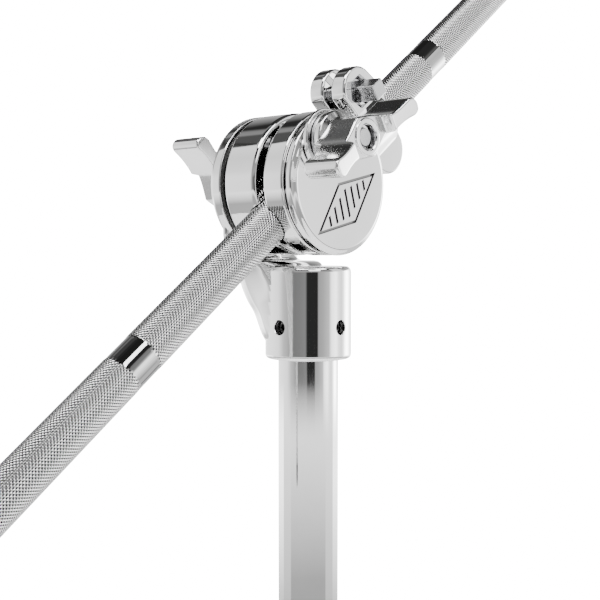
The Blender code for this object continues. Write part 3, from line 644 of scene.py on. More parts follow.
def lug_ring(at_z, collar, lug_r, lug_end, lug_half_height):
    low, high, outer = collar
    inner = BASE_TUBE_R + GAP
    at = shift(0, 0, at_z)
    obj = lathe(ring(inner, outer, low, high, 1.2), ROUND, at, True)
    for azimuth in LEG_AZIMUTHS:
        facing = turn("Z", azimuth)
        inner_x = inner + 1.2
        tip = arc(lug_r, 0, lug_end, -85, 85, 20)
        outline = [(inner_x, -lug_half_height), *tip, (inner_x, lug_half_height)]
        across = at @ facing @ ALONG_MINUS_Y
        lug = rounded(solid(extruded(outline, -LUG_HALF, LUG_HALF), across), 0.6, 3)
        join(obj, lug)
        hole = turned(cylinder(PIN_R + GAP, -6, 6), SMALL)
        cut(obj, solid(hole, at @ facing @ shift(lug_r, 0, 0) @ ALONG_MINUS_Y))
    return obj


def leg_collar():
    obj = lug_ring(COLLAR_PIVOT_Z, (-18.0, 18.0, 20.0), LEG_PIVOT_R, 7.0, 9.0)
    place = shift(0, 0, COLLAR_PIVOT_Z) @ radial(180)
    boss = filleted([(0, 17.0, 0), (8.0, 17.0, 0), (8.0, 31.5, 1.0), (0, 31.5, 0)])
    join(obj, lathe(boss, 64, place))
    drill(obj, place, 3.8, 10, 40)
    stands_for(smooth(obj), "leg_collar")
    wing_piece("leg_collar_wing_bolt", shift(-31.8, 0, COLLAR_PIVOT_Z) @ radial(180), stem=(3.5, 17.0))


def brace_hub():
    obj = lug_ring(HUB_PIVOT_Z, (-13.0, 13.0, 17.3), BRACE_PIVOT_R, 6.3, 8.0)
    place = shift(0, 0, HUB_PIVOT_Z + 7.0) @ radial(60)
    drill(obj, place, 2.8, 10, 25)
    stands_for(smooth(obj), "brace_hub")
    set_screw("brace_hub_screw", place, 17.4, 2.5, 14.7)


def strap(start, end, half_width, lateral):
    outline = arc(end, 0, half_width, -90, 90, 18) + arc(start, 0, half_width, 90, 270, 18)
    return extruded(outline, *lateral)


def rivet(at, side, low, high, radius):
    """A domed head on the outer face of a strip."""
    dome = [(0, side * low), (radius, side * low)]
    steps = 6
    for k in range(1, steps + 1):
        t = math.pi / 2 * k / steps
        dome.append((radius * math.cos(t), side * (low + 0.3 + (high - low - 0.3) * math.sin(t))))
    dome[-1] = (0, side * high)
    return lathe(dome, SMALL, at)


def leg(number, azimuth):
    place = turn("Z", azimuth) @ shift(LEG_PIVOT_R, 0, COLLAR_PIVOT_Z) @ turn("Y", LEG_SLOPE) @ ALONG_MINUS_Y
    near, far = LEG_STRIP
    straight = LEG_LENGTH - LEG_HALF_WIDTH
    obj = rounded(solid(strap(0, straight, LEG_HALF_WIDTH, (near, far)), place), 0.5, 3)
    join(obj, rounded(solid(strap(0, straight, LEG_HALF_WIDTH, (-far, -near)), place), 0.5, 3))
    join(obj, solid(block((FOOT_SPAN[0] - 30, -6.5, -5), (straight, 6.5, 5)), place))
    join(obj, lathe(cylinder(PIN_R, -6.3, 6.3), SMALL, place))
    for side in (-1, 1):
        join(obj, rivet(place, side, 5.8, 8.0, 4.6))
    stands_for(smooth(obj), f"leg_{number}")

    half_height, half_width = FOOT_HALF
    start, end = FOOT_SPAN
    outline = [
        (start, -half_height + 3), (start + 4, -half_height), (end - 5, -half_height),
        (end, -half_height + 6), (end, half_height - 2), (end - 2, half_height),
        (start + 4, half_height), (start, half_height - 3),
    ]
    foot = rounded(solid(extruded(outline, -half_width, half_width), place), 2.2, 5)
    pocket = block((start - 5, -8.4, -6.6), (LEG_LENGTH + GAP, 8.4, 6.6))
    cut(foot, solid(pocket, place))
    for k in range(5):
        at = start + 12 + 5.5 * k
        for side in (-1, 1):
            face = side * half_width
            groove = block((at, -half_height - 2, face - 0.7), (at + 1.8, half_height + 2, face + 0.7))
            cut(foot, solid(groove, place))
    floor_at = turn("Z", azimuth) @ shift(330, 0, 0)
    cut(foot, solid(block((-60, -60, -40), (60, 60, 0)), floor_at))
    stands_for(smooth(foot), f"foot_{number}")


def brace(number, azimuth):
    slope = math.radians(LEG_SLOPE)
    run = LEG_PIVOT_R + BRACE_MEETS_LEG * math.cos(slope) - BRACE_PIVOT_R
    rise = COLLAR_PIVOT_Z - BRACE_MEETS_LEG * math.sin(slope) - HUB_PIVOT_Z
    length = math.hypot(run, rise)
    lean = -math.degrees(math.atan2(rise, run))
    place = turn("Z", azimuth) @ shift(BRACE_PIVOT_R, 0, HUB_PIVOT_Z) @ turn("Y", lean) @ ALONG_MINUS_Y
    near, far = BRACE_STRIP
    obj = rounded(solid(strap(0, length, BRACE_HALF_WIDTH, (near, far)), place), 0.4, 3)
    join(obj, rounded(solid(strap(0, length, BRACE_HALF_WIDTH, (-far, -near)), place), 0.4, 3))
    join(obj, lathe(cylinder(PIN_R, -8.0, 8.0), SMALL, place))
    for at in (0.0, length):
        for side in (-1, 1):
            join(obj, rivet(place @ shift(at, 0, 0), side, far - 0.5, far + 1.6, 4.2))
    stands_for(smooth(obj), f"brace_{number}")


def tripod():
    leg_collar()
    brace_hub()
    plug = filleted([
        (0, 0, 0), (14.3, 0, 1.8), (14.3, 22.0, 0.4), (12.3, 22.0, 0), (12.3, 35.0, 0.8),
        (0, 35.0, 0),
    ])
    piece("tube_plug", turned(plug))
    for number, azimuth in enumerate(LEG_AZIMUTHS, 1):
        leg(number, azimuth)
        brace(number, azimuth)


# ---- height tiers


def tube(node, wall):
    low, high = span_z(node)
    radius = radius_of(node)
    piece(node, turned(ring(radius - wall, radius, low, high, 0.35), ROUND, True))


def tube_clamp(prefix, tube_top, lower_r, upper_r):
    bore = lower_r + GAP
    outer = lower_r + 4.7
    top = 18.0
    lip = upper_r + 0.9
    profile = filleted([
        (bore, -36.0, 0), (outer, -36.0, 1.4), (outer, top, 2.6), (lip, top, 0.4),
        (lip, 15.0, 0), (bore, 15.0, 0),
    ])
    casting = lathe(profile, ROUND, shift(0, 0, tube_top), True)
    place = shift(0, 0, tube_top + 7.5) @ radial(-90)
    boss_end = outer + 13.0
    boss = filleted([(0, lower_r + 1.5, 0), (8.2, lower_r + 1.5, 0), (8.2, boss_end, 1.1), (0, boss_end, 0)])
    join(casting, lathe(boss, 64, place))
    drill(casting, place, 3.8, lower_r - 4.0, boss_end + 5.0)
    stands_for(smooth(casting), f"{prefix}_clamp")
    bush = ring(upper_r + GAP, lower_r, 0.5, 14.6, 0.4)
    piece(f"{prefix}_bush", turned(bush, ROUND, True), shift(0, 0, tube_top))
    stem = boss_end + GAP - lower_r - 0.5
    at = shift(0, -(boss_end + GAP), tube_top + 7.5) @ radial(-90)
    wing_piece(f"{prefix}_wing_bolt", at, stem=(3.5, stem))


def tube_lock(prefix, low, tube_r):
    height = 12.0
    obj = lathe(ring(tube_r + GAP, tube_r + 4.2, 0, height, 1.0), ROUND, shift(0, 0, low), True)
    ear_x = tube_r + 8.5
    outline = [(tube_r + 1.5, -6.0), *arc(ear_x, 0, 6.0, -90, 90, 24), (tube_r + 1.5, 6.0)]
    centre = shift(0, 0, low + height / 2)
    join(obj, rounded(solid(extruded(outline, -6.0, 6.0), centre @ ALONG_MINUS_Y), 0.7, 3))
    cut(obj, solid(block((tube_r - 3, -1.2, -20), (tube_r + 25, 1.2, 20)), centre))
    drill(obj, centre @ shift(ear_x, 0, 0) @ ALONG_MINUS_Y, 2.8, -12, 12)
    stands_for(smooth(obj), f"{prefix}_memory_lock")
    head = centre @ shift(ear_x, -6.0 - GAP, 0) @ ALONG_MINUS_Y
    key_screw(f"{prefix}_lock_screw", head, 2.5, 12.5, 4.6)


def height_tiers():
    tube("base_tube", 1.6)
    tube("middle_tube", 1.25)
    tube("top_tube", 1.25)
    base_top = span_z("base_tube")[1]
    middle_top = span_z("middle_tube")[1]
    tube_clamp("base", base_top, BASE_TUBE_R, MIDDLE_TUBE_R)
    tube_clamp("middle", middle_top, MIDDLE_TUBE_R, TOP_TUBE_R)
    tube_lock("middle", base_top + 18.0 + GAP, MIDDLE_TUBE_R)
    tube_lock("top", middle_top + 18.0 + GAP, TOP_TUBE_R)


# ---- boom tilter

# Neck sections of the tilter's casting: height, half width, front, back, squareness
NECK = (
    (-51.0, 11.5, -6.0, 12.0, 2.0), (-47.5, 12.8, -6.0, 14.1, 2.2), (-41.0, 13.1, -6.0, 17.2, 2.4),
    (-37.0, 13.2, -5.0, 19.9, 2.7), (-32.5, 13.6, -3.0, 21.6, 3.0), (-28.0, 14.3, 0.5, 21.8, 3.2),
    (-24.4, 15.2, 5.0, 21.8, 3.2), (-23.4, 15.6, 17.0, 21.8, 3.2), (-16.0, 18.0, 17.6, 21.6, 3.2),
    (-9.0, 18.0, 18.0, 21.4, 3.2),
)
SOCKET_BOTTOM = -55.0
SOCKET_TOP = -25.7


def neck_section(z, half_x, front, back, power, count=72):
    centre = (front + back) / 2
    half_y = (back - front) / 2
    points = []
    for i in range(count):
        angle = 2 * math.pi * i / count
        c, s = math.cos(angle), math.sin(angle)
        x = half_x * math.copysign(abs(c) ** (2 / power), c)
        y = half_y * math.copysign(abs(s) ** (2 / power), s)
        points.append((x, centre + y, z))
    return points


def between(sections, steps):
    """Sections interpolated smoothly through the given ones."""
    result = []
    last = len(sections) - 1
    for k in range(last):
        p0, p1, p2, p3 = (sections[min(max(k + d, 0), last)] for d in (-1, 0, 1, 2))
        for i in range(steps):
            t = i / steps
            values = []
            for a, b, c, d in zip(p0, p1, p2, p3):
                curve = 2 * b + (c - a) * t + (2 * a - 5 * b + 4 * c - d) * t**2
                curve += (3 * b - a - 3 * c + d) * t**3
                low, high = min(b, c), max(b, c)
                values.append(min(max(curve / 2, low), high))
            result.append(tuple(values))
    result.append(sections[-1])
    return result


def tilter_base():
    bottom, top = SOCKET_BOTTOM, SOCKET_TOP
    socket = filleted([(0, bottom, 0), (SOCKET_R, bottom, 1.5), (SOCKET_R, top, 2.2), (0, top, 0)], 7)
    obj = lathe(socket, 128, TILTER)
    plate = filleted([(0, 17.0, 0), (DISC_R, 17.0, 0.5), (DISC_R, 22.0, 2.4), (0, 22.0, 0)], 7)
    join(obj, lathe(plate, 144, TILTER @ ALONG_PLUS_Y))
    neck = lofted([neck_section(*values) for values in between(NECK, 5)])
    join(obj, solid(neck, TILTER))
    drill(obj, TILTER, TOP_TUBE_R + GAP, bottom - 5, -30.0, ROUND)
    drill(obj, TILTER @ ALONG_PLUS_Y, 4.3, 10, 30)
    for side, azimuth in (("front", -90), ("side", 180)):
        place = TILTER @ shift(0, 0, -44.7) @ radial(azimuth)
        hole = filleted([(0, 5, 0), (2.2, 5, 0), (2.2, 13.3, 0), (2.4, 13.6, 0), (2.4, 20, 0), (0, 20, 0)])
        cut(obj, lathe(hole, SMALL, place))
        set_screw(f"socket_screw_{side}", place, 11.4, 1.9, 9.8)
    stands_for(smooth(obj), "tilter_base")


def rod_groove():
    return lathe(cylinder(ROD_R + GAP, -60, 60), ROUND, BOOM @ shift(0, ROD_Y, 0) @ ALONG_X)


EMBLEM_LENGTH = 17.2
EMBLEM_WIDTH = 7.4
EMBLEM_CENTRE = (-1.5, -6.6)
COVER_FACE = -13.8


def emblem(cover):
    """A plain long diamond with slanting bars, sunk a little way into the cover."""
    face = BOOM @ shift(EMBLEM_CENTRE[0], COVER_FACE, EMBLEM_CENTRE[1]) @ ALONG_MINUS_Y
    line = 0.9
    depth = 0.9

    def diamond(length, width):
        return [(-length, 0), (0, -width), (length, 0), (0, width)]

    outer = solid(extruded(diamond(EMBLEM_LENGTH, EMBLEM_WIDTH), -depth, 2), face)
    inner = diamond(EMBLEM_LENGTH - line * 2.5, EMBLEM_WIDTH - line * 1.1)
    cut(outer, solid(extruded(inner, -1, 3), face))
    cut(cover, outer)
    bars = 7
    for k in range(bars):
        x = (k - (bars - 1) / 2) * 3.3
        half = 0.62 * EMBLEM_WIDTH * (1 - abs(x) / EMBLEM_LENGTH) - 0.4
        lean = 0.35 * half
        bar = [(x - lean - 0.55, -half), (x - lean + 0.55, -half)]
        bar += [(x + lean + 0.55, half), (x + lean - 0.55, half)]
        cut(cover, solid(extruded(bar, -depth, 2), face))


def clamp_discs():
    groove_edge = 0.6
    rear = filleted([(0, 2.0, 0), (DISC_R, 2.0, 1.6), (DISC_R, 14.8, 0.8), (0, 14.8, 0)], 6)
    front = filleted([(0, -9.4, 0), (DISC_R, -9.4, 0.7), (DISC_R, -1.4, 1.3), (0, -1.4, 0)], 6)
    rear = lathe(rear, 160, BOOM @ ALONG_PLUS_Y)
    front = lathe(front, 160, BOOM @ ALONG_PLUS_Y)
    cut(rear, rod_groove())
    cut(front, rod_groove())
    rounded(rear, groove_edge, 3, 50)
    rounded(front, groove_edge, 3, 50)
    cover = filleted([
        (0, COVER_FACE, 0), (DISC_R - 1.9, COVER_FACE, 0.5),
        (DISC_R - 0.9, COVER_FACE + 0.7, 0.4), (DISC_R, COVER_FACE + 1.1, 0.5),
        (DISC_R, -11.0, 0.4), (DISC_R - 1.2, -11.0, 0.2), (DISC_R - 1.2, -9.7, 0), (0, -9.7, 0),
    ])
    cover = lathe(cover, 160, BOOM @ ALONG_PLUS_Y)
    clamp = BOOM @ shift(0, 0, CLAMP_OFFSET) @ ALONG_PLUS_Y
    for target in (rear, front, cover):
        drill(target, clamp, 3.3, -30, 30)
    drill(rear, clamp, 5.6, 10.6, 20)
    drill(rear, BOOM @ ALONG_PLUS_Y, 4.3, 9.7, 20)
    pin = BOOM @ shift(0, 0, -CLAMP_OFFSET) @ ALONG_PLUS_Y
    for target in (rear, front):
        drill(target, pin, 2.8, -6.8, 11.3)
    emblem(cover)
    stands_for(smooth(rear), "rear_clamp_disc")
    stands_for(smooth(front), "front_clamp_disc")
    # Painted shade in the emblem's engraved grooves.
    paint_groove_shade(MATERIALS["engraved_chrome"], BOOM @ ALONG_PLUS_Y, 20.0, COVER_FACE + 0.12)
    stands_for(smooth(cover), "front_cover", "engraved_chrome")


def tilter_hardware():
    pin = BOOM @ shift(0, 0, -CLAMP_OFFSET) @ ALONG_PLUS_Y
    piece("guide_pin", turned(cylinder(2.5, -6.5, 11.0, 0.5), SMALL), pin)
    across = BOOM @ ALONG_PLUS_Y
    piece("brake_washer", turned(ring(4.3, 20.5, 15.1, 16.7, 0.3), ROUND, True), across)
    piece("tilt_bolt", threaded(4.0, 10.0, 40.5, 1.25, 23.0, 0.5, 40), across)
    upright = TILTER @ ALONG_PLUS_Y
    piece("tilt_washer", turned(ring(4.3, 9.5, 22.3, 24.4, 0.5), ROUND, True), upright)
    piece("tilt_spring_washer", turned(spring_washer(4.3, 7.6, 24.7, 28.2, 2), ROUND, True), upright)
    wing_piece("tilt_wing_nut", upright @ shift(0, 0, 28.5) @ turn("Z", -135.0), bore=4.3)

    clamp = BOOM @ shift(0, 0, CLAMP_OFFSET) @ ALONG_PLUS_Y
    bolt = solid(bolt_shank(), clamp)
    hexagon = rounded(solid(extruded(arc(0, 0, 5.1, 0, 300, 5), 10.9, 14.4), clamp), 0.4, 2)
    join(bolt, hexagon)
    stands_for(smooth(bolt), "clamp_bolt")
    piece("clamp_washer", turned(ring(3.3, 9.6, -15.7, -14.1, 0.5), ROUND, True), clamp)
    piece("clamp_spring_washer", turned(spring_washer(3.3, 8.2, -17.2, -16.0, 1), ROUND, True), clamp)
    front = BOOM @ shift(0, -17.5, CLAMP_OFFSET) @ ALONG_MINUS_Y
    wing_piece("clamp_wing_nut", front @ turn("Z", 30.5 - BOOM_ANGLE), bore=3.3)


def bolt_shank():
    """The clamp bolt's shank, threaded towards the wing nut with its end just inside the bore."""
    points, faces = threaded(3.0, -11.2, 30.0, 1.0, 2.0, 0.3, 36)
    return [(x, -y, -z) for x, y, z in points], faces


def spring_washer(inner, outer, low, high, turns):
    """Profile of a stack of coils with rounded edges."""
    step = (high - low) / turns
    outside, inside = [], []
    for k in range(turns):
        a, b = low + k * step, low + (k + 1) * step
        edge = 0.22 * step
        outside += [(outer - edge, a), (outer, a + edge), (outer, b - edge), (outer - edge, b)]
        inside = [(inner + edge, b), (inner, b - edge), (inner, a + edge), (inner + edge, a)] + inside
    return outside + inside


# ---- boom rod

KNURL_ROUND = 35  # diamonds round the rod
KNURL_DEPTH = 0.32
BANDS = ((-92.6, -83.1), (72.9, 82.7))  # polished bands, along the rod


def knurled_rod(start, end):
    """Rolled diamonds: points stand up where the columns and rows both count even or both odd,
    with pits between them, and each four-sided patch is split between its two high corners."""
    columns = 2 * KNURL_ROUND
    pitch = 2 * math.pi * ROD_R / KNURL_ROUND
    rows = int(round((end - start) / (pitch / 2)))
    points, faces = [], []
    for k in range(rows + 1):
        x = start + (end - start) * k / rows
        plain = any(low <= x <= high for low, high in BANDS) or k in (0, rows)
        for c in range(columns):
            high = (c + k) % 2 == 0
            radius = ROD_R - (KNURL_DEPTH * 0.28 if plain else (0.0 if high else KNURL_DEPTH))
            if k in (0, rows):
                radius = ROD_R - 0.6
            angle = math.pi * 2 * c / columns
            points.append((radius * math.cos(angle), radius * math.sin(angle), x))
    for k in range(rows):
        for c in range(columns):
            d = (c + 1) % columns
            a, b = k * columns + c, k * columns + d
            e, f = (k + 1) * columns + d, (k + 1) * columns + c
            if (c + k) % 2 == 0:
                faces += [[a, b, e], [a, e, f]]
            else:
                faces += [[a, b, f], [b, e, f]]
    faces.append(list(range(columns))[::-1])
    faces.append([rows * columns + c for c in range(columns)])
    return points, faces


def boom_rod():
    start, end = ROD_SPAN
    place = BOOM @ shift(0, ROD_Y, 0) @ ALONG_X
    rod = solid(knurled_rod(start, end), place)
    # Painted shade in the knurl's pits: the base colour darkens with depth.
    paint_pit_shade(MATERIALS["knurled_chrome"], place, ROD_R, KNURL_DEPTH)
    polish_bands(MATERIALS["knurled_chrome"], place, BANDS)
    rod.data.shade_smooth()
    rod.data.set_sharp_from_angle(angle=math.radians(60))
    stands_for(rod, "boom_rod")
    cap = filleted([
        (0, start - 3.0, 0), (ROD_R + 2.0, start - 3.0, 2.0), (ROD_R + 2.0, start + 16.0, 0.8),
        (ROD_R + GAP, start + 16.0, 0.3), (ROD_R + GAP, start - GAP, 0), (0, start - GAP, 0),
    ])
    piece("boom_end_cap", turned(cap, 64), place)


# ---- memory lock on the rod

LOCK_EAR_R = 8.2
LOCK_R = 11.2
LOCK_HALF = 8.0
LOCK_POCKET = 3.6
LOCK_SLOT = (-0.7, 2.6)
LOCK_Y = (-6.6, 8.5)


def lock_half(node, side):
    low, high = LOCK_Y
    slot_low, slot_high = LOCK_SLOT
    mid = (slot_low + slot_high) / 2
    ear = arc(0, LOCK_EAR, LOCK_EAR_R, 28, 168, 32)
    waist = [(-LOCK_HALF + 1.8, LOCK_EAR - 5.2), (-LOCK_HALF + 1.0, -8.0)]
    knuckle = arc(2.0, -9.0, 8.4, 190, 350, 30)
    lean = [(LOCK_HALF + 2.0, -6.0), (LOCK_HALF + 2.6, LOCK_EAR - 3.2)]
    outline = ear + waist + knuckle + lean
    near, far = (low, slot_low) if side < 0 else (slot_high, high)
    here = BOOM @ shift(LOCK_AT, 0, 0)
    obj = rounded(solid(extruded(outline, -far, -near), here @ ALONG_MINUS_Y), 1.0, 4, 30)
    shell = cylinder(LOCK_R, -LOCK_HALF, LOCK_HALF, 1.4)
    join(obj, lathe(shell, ROUND, here @ shift(0, mid, 0) @ ALONG_X))
    drill(obj, here @ shift(0, ROD_Y, 0) @ ALONG_X, ROD_R + GAP, -30, 30, 64)
    seam = GAP / 2
    if side < 0:
        other_half = block((-40, mid - seam, -40), (40, 40, 40))
    else:
        other_half = block((-40, -40, -40), (40, mid + seam, 40))
    cut(obj, solid(other_half, here))
    slot = block((-20, slot_low - 0.02, LOCK_R - 3.0), (20, slot_high + 0.02, 40))
    cut(obj, solid(slot, here))
    drill(obj, here @ shift(0, 0, LOCK_EAR) @ ALONG_PLUS_Y, 2.8, -30, 30)
    drill(obj, here @ shift(0, mid, -13.2) @ ALONG_X, 1.9, -30, 30)
    if side < 0:
        facing = here @ shift(0, 0, LOCK_EAR) @ ALONG_MINUS_Y
        pocket = extruded(arc(0, 0, 5.6, 0, 300, 5), -low - LOCK_POCKET, 10)
        cut(obj, rounded(solid(pocket, facing), 0.4, 2))
    stands_for(smooth(obj), node)


def memory_lock():
    lock_half("boom_lock_front", -1)
    lock_half("boom_lock_rear", 1)
    here = BOOM @ shift(LOCK_AT, 0, 0)
    seat = LOCK_Y[0] + LOCK_POCKET - GAP
    key_screw("boom_lock_screw", here @ shift(0, seat, LOCK_EAR) @ ALONG_MINUS_Y, 2.5, 12.5, 4.4, 11.1)
    mid = (LOCK_SLOT[0] + LOCK_SLOT[1]) / 2
    pin = turned(cylinder(1.6, -8.6, 8.6, 0.4), SMALL)
    piece("boom_lock_pin", pin, here @ shift(0, mid, -13.2) @ ALONG_X)


# ---- cymbal end


def felt_disc(node, low, seed):
    """A pressed felt washer: soft edges and a slightly uneven, fibrous surface."""
    high = low + 12.0
    profile = filleted([(6.5, low, 0.8), (18.0, low, 2.6), (18.0, high, 2.6), (6.5, high, 0.8)], 6)
    obj = lathe(profile, ROUND, CYMBAL @ shift(0, CYMBAL_ROD_Y, 0), True)
    subdivide = obj.modifiers.new("finer", "SUBSURF")
    subdivide.subdivision_type = "SIMPLE"
    subdivide.levels = 1
    subdivide.render_levels = 1
    apply_modifiers(obj)
    middle = (CYMBAL @ Vector((0, CYMBAL_ROD_Y, low + 6.0))) * MM
    for vertex in obj.data.vertices:
        swell = noise.fractal(vertex.co / MM * 0.9 + Vector((seed, 0, 0)), 1.0, 2.0, 4)
        inward = (middle - vertex.co).normalized()
        vertex.co += inward * (0.12 + 0.12 * swell) * MM
    obj.data.shade_smooth()
    stands_for(obj, node)


def cymbal_end():
    sleeve_start = ROD_SPAN[1] - 19.0
    along = BOOM @ shift(0, ROD_Y, 0) @ ALONG_X
    hinge = BOOM @ shift(CYMBAL_PIVOT_AT, 0, 0)
    sleeve_end = CYMBAL_PIVOT_AT - 4.0
    body = lathe(cylinder(9.6, sleeve_start, sleeve_end, 1.3), ROUND, along)
    disc = filleted([(0, 0.2, 0), (12.5, 0.2, 0.5), (12.5, 9.6, 1.4), (0, 9.6, 0)])
    join(body, lathe(disc, ROUND, hinge @ ALONG_MINUS_Y))
    drill(body, hinge @ ALONG_PLUS_Y, 13.3, 0.0, 20, ROUND)
    drill(body, along, ROD_R + GAP, sleeve_start - 5, ROD_SPAN[1] + GAP, 64)
    drill(body, hinge @ ALONG_PLUS_Y, 3.3, -20, 20)
    stands_for(smooth(body), "cymbal_tilter_body")

    head = lathe(disc, ROUND, CYMBAL @ ALONG_PLUS_Y)
    upright = CYMBAL @ shift(0, CYMBAL_ROD_Y, 0)
    boss = filleted([(0, 2, 0), (6.4, 2, 0), (6.4, 21, 1.1), (0, 21, 0)])
    join(head, lathe(boss, 64, upright))
    drill(head, CYMBAL @ ALONG_PLUS_Y, 3.3, -20, 20)
    drill(head, upright, 4.3, 7.7, 30)
    stands_for(smooth(head), "cymbal_tilter_head")
    piece("cymbal_rod", threaded(4.0, 8.0, 92.0, 1.25, 48.0, 0.5, 40), upright)
    screw = CYMBAL @ shift(0, -9.9, 0) @ ALONG_MINUS_Y @ turn("Z", 60)
    wing_piece("cymbal_tilter_screw", screw, scale=0.75, stem=(3.0, 18.0))

    cup = filleted([
        (4.3, 21.3, 0.2), (15.5, 21.3, 1.2), (17.5, 22.4, 0.3), (17.5, 23.4, 0.4),
        (15.2, 22.9, 0.8), (4.3, 22.9, 0.2),
    ])
    piece("cup_washer", turned(cup, ROUND, True), upright)
    sleeve = filleted([
        (4.3, 23.2, 0.2), (9.0, 23.2, 0.4), (9.0, 24.6, 0.3), (6.2, 24.6, 0.3), (6.2, 49.5, 0.4),
        (4.3, 49.5, 0.3),
    ])
    piece("cymbal_sleeve", turned(sleeve, 64, True), upright)
    felt_disc("lower_felt", 24.9, 3.0)
    felt_disc("upper_felt", 37.2, 17.0)
    nut = CYMBAL @ shift(0, CYMBAL_ROD_Y, 49.8) @ turn("Z", 25)
    wing_piece("cymbal_wing_nut", nut, scale=0.8, bore=4.3)


# ---- studio

CAMERA_AT = (-0.26128, -0.23123, 0.88991)
CAMERA_HEADING = 48.064  # degrees from +Y towards +X
CAMERA_PITCH = -2.710
LENS_MM = 66.02
KEY_AT = (-0.9, -1.6, 2.4)
KEY_TOWARDS = (0, 0, 0.7)


def camera():
    data = bpy.data.cameras.new("camera")
    data.sensor_width = 36.0
    data.lens = LENS_MM
    data.clip_start = 0.01
    obj = bpy.data.objects.new("camera", data)
    bpy.context.scene.collection.objects.link(obj)
    obj.location = CAMERA_AT
    obj.rotation_euler = (math.radians(90 + CAMERA_PITCH), 0, math.radians(-CAMERA_HEADING))
    bpy.context.scene.camera = obj


def studio_floor():
    """A pale disc under the stand, finite so that the close view sees past it."""
    points = [(0, 0, 0)]
    faces = []
    count = 96
    for i in range(count):
        angle = 2 * math.pi * i / count
        points.append((1500 * math.cos(angle), 1500 * math.sin(angle), 0))
        faces.append([0, 1 + i, 1 + (i + 1) % count])
    obj = solid((points, faces), shift(0, 0, -0.4))
    obj.name = "studio_floor"
    material, tree, shader = new_material("studio_floor")
    where = surface_point(tree)
    tone = noise_node(tree, where, 6.0, 3.0)
    pale = ramp_node(tree, tone, [(0.3, grey(0.86)), (0.7, grey(0.9))])
    tree.links.new(pale, shader.inputs["Base Color"])
    tree.links.new(pale, shader.inputs["Emission Color"])
    shader.inputs["Emission Strength"].default_value = 1.2
    shader.inputs["Roughness"].default_value = 0.7
    obj.data.materials.append(material)


# The room as the chrome sees it: brightness by azimuth along the horizon, in degrees from the
# camera's side, positive to the camera's right
BY_AZIMUTH = (
    (-180, 6.0), (-150, 2.6), (-115, 2.3), (-88, 1.9), (-70, 0.9), (-55, 0.62), (-45, 0.30),
    (-38, 0.24), (-22, 0.26), (-8, 0.30), (-3, 0.03), (24, 0.03), (27, 0.5), (40, 0.62), (57, 0.95),
    (65, 3.0), (78, 4.0), (88, 2.4), (99, 1.8), (108, 3.0), (125, 12.0), (140, 6.0), (152, 3.0),
    (180, 6.0),
)
# Brightness by elevation: behind the stand, and on the camera's side and to the left
BEHIND = (
    (-90, 2.0), (-30, 1.2), (-18, 1.2), (-12, 4.0), (0, 6.0), (4, 2.2), (9, 0.66), (22, 0.64),
    (32, 0.34), (36, 0.25), (39.5, 0.14), (42.5, 0.03), (50, 0.03), (90, 0.03),
)
BEFORE = (
    (-90, 1.4), (-34, 0.7), (-21, 0.65), (-8, 2.3), (0, 1.8), (30, 1.3), (45.5, 1.6), (46.5, 0.09),
    (52, 0.25), (62, 0.06), (90, 0.03),
)
# Brightness by elevation over the camera
FACING = (
    (-90, 2.0), (-30, 0.5), (-17, 0.6), (-10, 2.0), (12, 0.5), (34, 0.36), (37, 0.04), (51, 0.03),
    (52.5, 9.0), (65, 9.0), (66.5, 0.03), (90, 0.03),
)
FACING_TO = 68.0  # degrees either side of the camera where that ends
# Brightness by azimuth high up behind the stand
HIGH_BEHIND = (
    (-180, 0.03), (-146, 0.03), (-140, 0.28), (-133, 0.32), (-129, 0.1), (-108, 0.1), (0, 0.05),
    (180, 0.05),
)
HIGH_FROM = 42.0  # elevation where that begins
BEHIND_FROM = 108.5  # degrees either side of the camera where "behind" starts
HORIZON = (-9.5, -7.0, 9.0, 15.0)  # elevations over which the azimuth bands fade in and out
PEAK = 16.0
SEEN_WHITE = 20.0


def band_ramp(tree, degrees, low, high, stops):
    """Brightness by angle. Its colour ramp is held from 0 to 1 and then scaled by PEAK."""
    position = calc(tree, "DIVIDE", calc(tree, "SUBTRACT", degrees, low), high - low)
    scaled = [((at - low) / (high - low), grey(value / PEAK)) for at, value in stops]
    colour = ramp_node(tree, position, scaled)
    return calc(tree, "MULTIPLY", colour, PEAK)


def along(tree, x, y, towards_x, towards_y):
    """How far a direction leans towards a horizontal direction."""
    a = calc(tree, "MULTIPLY", x, towards_x)
    b = calc(tree, "MULTIPLY", y, towards_y)
    return calc(tree, "ADD", a, b)


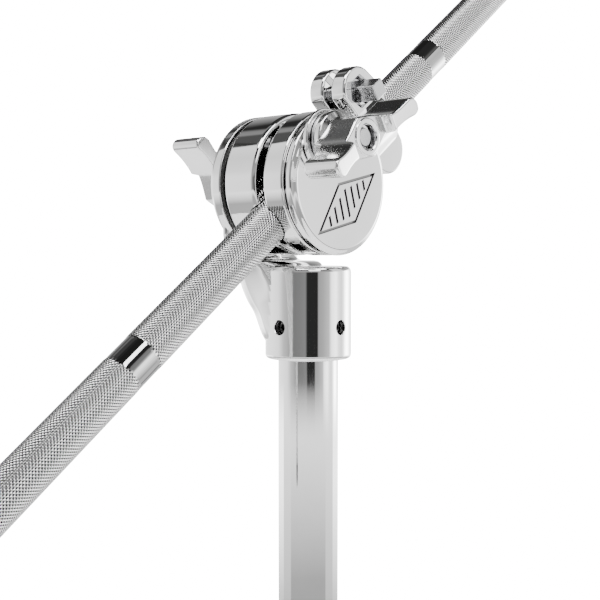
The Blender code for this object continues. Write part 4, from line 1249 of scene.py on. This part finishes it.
def room():
    world = bpy.data.worlds.new("room")
    bpy.context.scene.world = world
    world.use_nodes = True
    tree = world.node_tree
    tree.nodes.clear()
    direction = tree.nodes.new("ShaderNodeTexCoord").outputs["Generated"]
    split = tree.nodes.new("ShaderNodeSeparateXYZ")
    tree.links.new(direction, split.inputs["Vector"])
    x, y, z = split.outputs["X"], split.outputs["Y"], split.outputs["Z"]
    heading = math.radians(CAMERA_HEADING)
    # The camera stands towards (-sin, -cos) of its heading, and its right is (cos, -sin)
    towards = along(tree, x, y, -math.sin(heading), -math.cos(heading))
    rightwards = along(tree, x, y, math.cos(heading), -math.sin(heading))
    azimuth = calc(tree, "DEGREES", calc(tree, "ARCTAN2", rightwards, towards))
    elevation = calc(tree, "DEGREES", calc(tree, "ARCSINE", z))

    away = calc(tree, "ABSOLUTE", azimuth)
    behind = step_node(tree, away, BEHIND_FROM, 2.0)
    high = step_node(tree, elevation, HIGH_FROM, 1.5)
    low_rear = band_ramp(tree, elevation, -90, 90, BEHIND)
    high_rear = band_ramp(tree, azimuth, -180, 180, HIGH_BEHIND)
    rear = mixed(tree, high, low_rear, high_rear)
    aside = step_node(tree, away, FACING_TO, 5.0)
    facing = band_ramp(tree, elevation, -90, 90, FACING)
    beside = band_ramp(tree, elevation, -90, 90, BEFORE)
    front = mixed(tree, aside, facing, beside)
    above = mixed(tree, behind, front, rear)
    place = calc(tree, "DIVIDE", calc(tree, "ADD", elevation, 90.0), 180.0)
    fades = zip(HORIZON, (0.0, 1.0, 1.0, 0.0))
    near_horizon = ramp_node(tree, place, [((90 + at) / 180, grey(level)) for at, level in fades])
    around = band_ramp(tree, azimuth, -180, 180, BY_AZIMUTH)
    level = mixed(tree, near_horizon, above, around)

    reflected = tree.nodes.new("ShaderNodeBackground")
    tree.links.new(level, reflected.inputs["Color"])
    seen = tree.nodes.new("ShaderNodeBackground")
    seen.inputs["Strength"].default_value = SEEN_WHITE
    seen.inputs["Color"].default_value = (1.0, 1.0, 1.0, 1.0)
    mix = tree.nodes.new("ShaderNodeMixShader")
    tree.links.new(tree.nodes.new("ShaderNodeLightPath").outputs["Is Camera Ray"], mix.inputs["Fac"])
    tree.links.new(reflected.outputs["Background"], mix.inputs[1])
    tree.links.new(seen.outputs["Background"], mix.inputs[2])
    output = tree.nodes.new("ShaderNodeOutputWorld")
    tree.links.new(mix.outputs["Shader"], output.inputs["Surface"])


def studio():
    camera()
    studio_floor()
    room()
    data = bpy.data.lights.new("key", "AREA")
    data.shape = "SQUARE"
    data.size = 1.2
    data.energy = 14
    light = bpy.data.objects.new("key", data)
    bpy.context.scene.collection.objects.link(light)
    light.location = KEY_AT
    light.rotation_euler = (Vector(KEY_TOWARDS) - light.location).to_track_quat("-Z", "Y").to_euler()


def main():
    studio()
    tripod()
    height_tiers()
    tilter_base()
    clamp_discs()
    tilter_hardware()
    boom_rod()
    memory_lock()
    cymbal_end()


main()
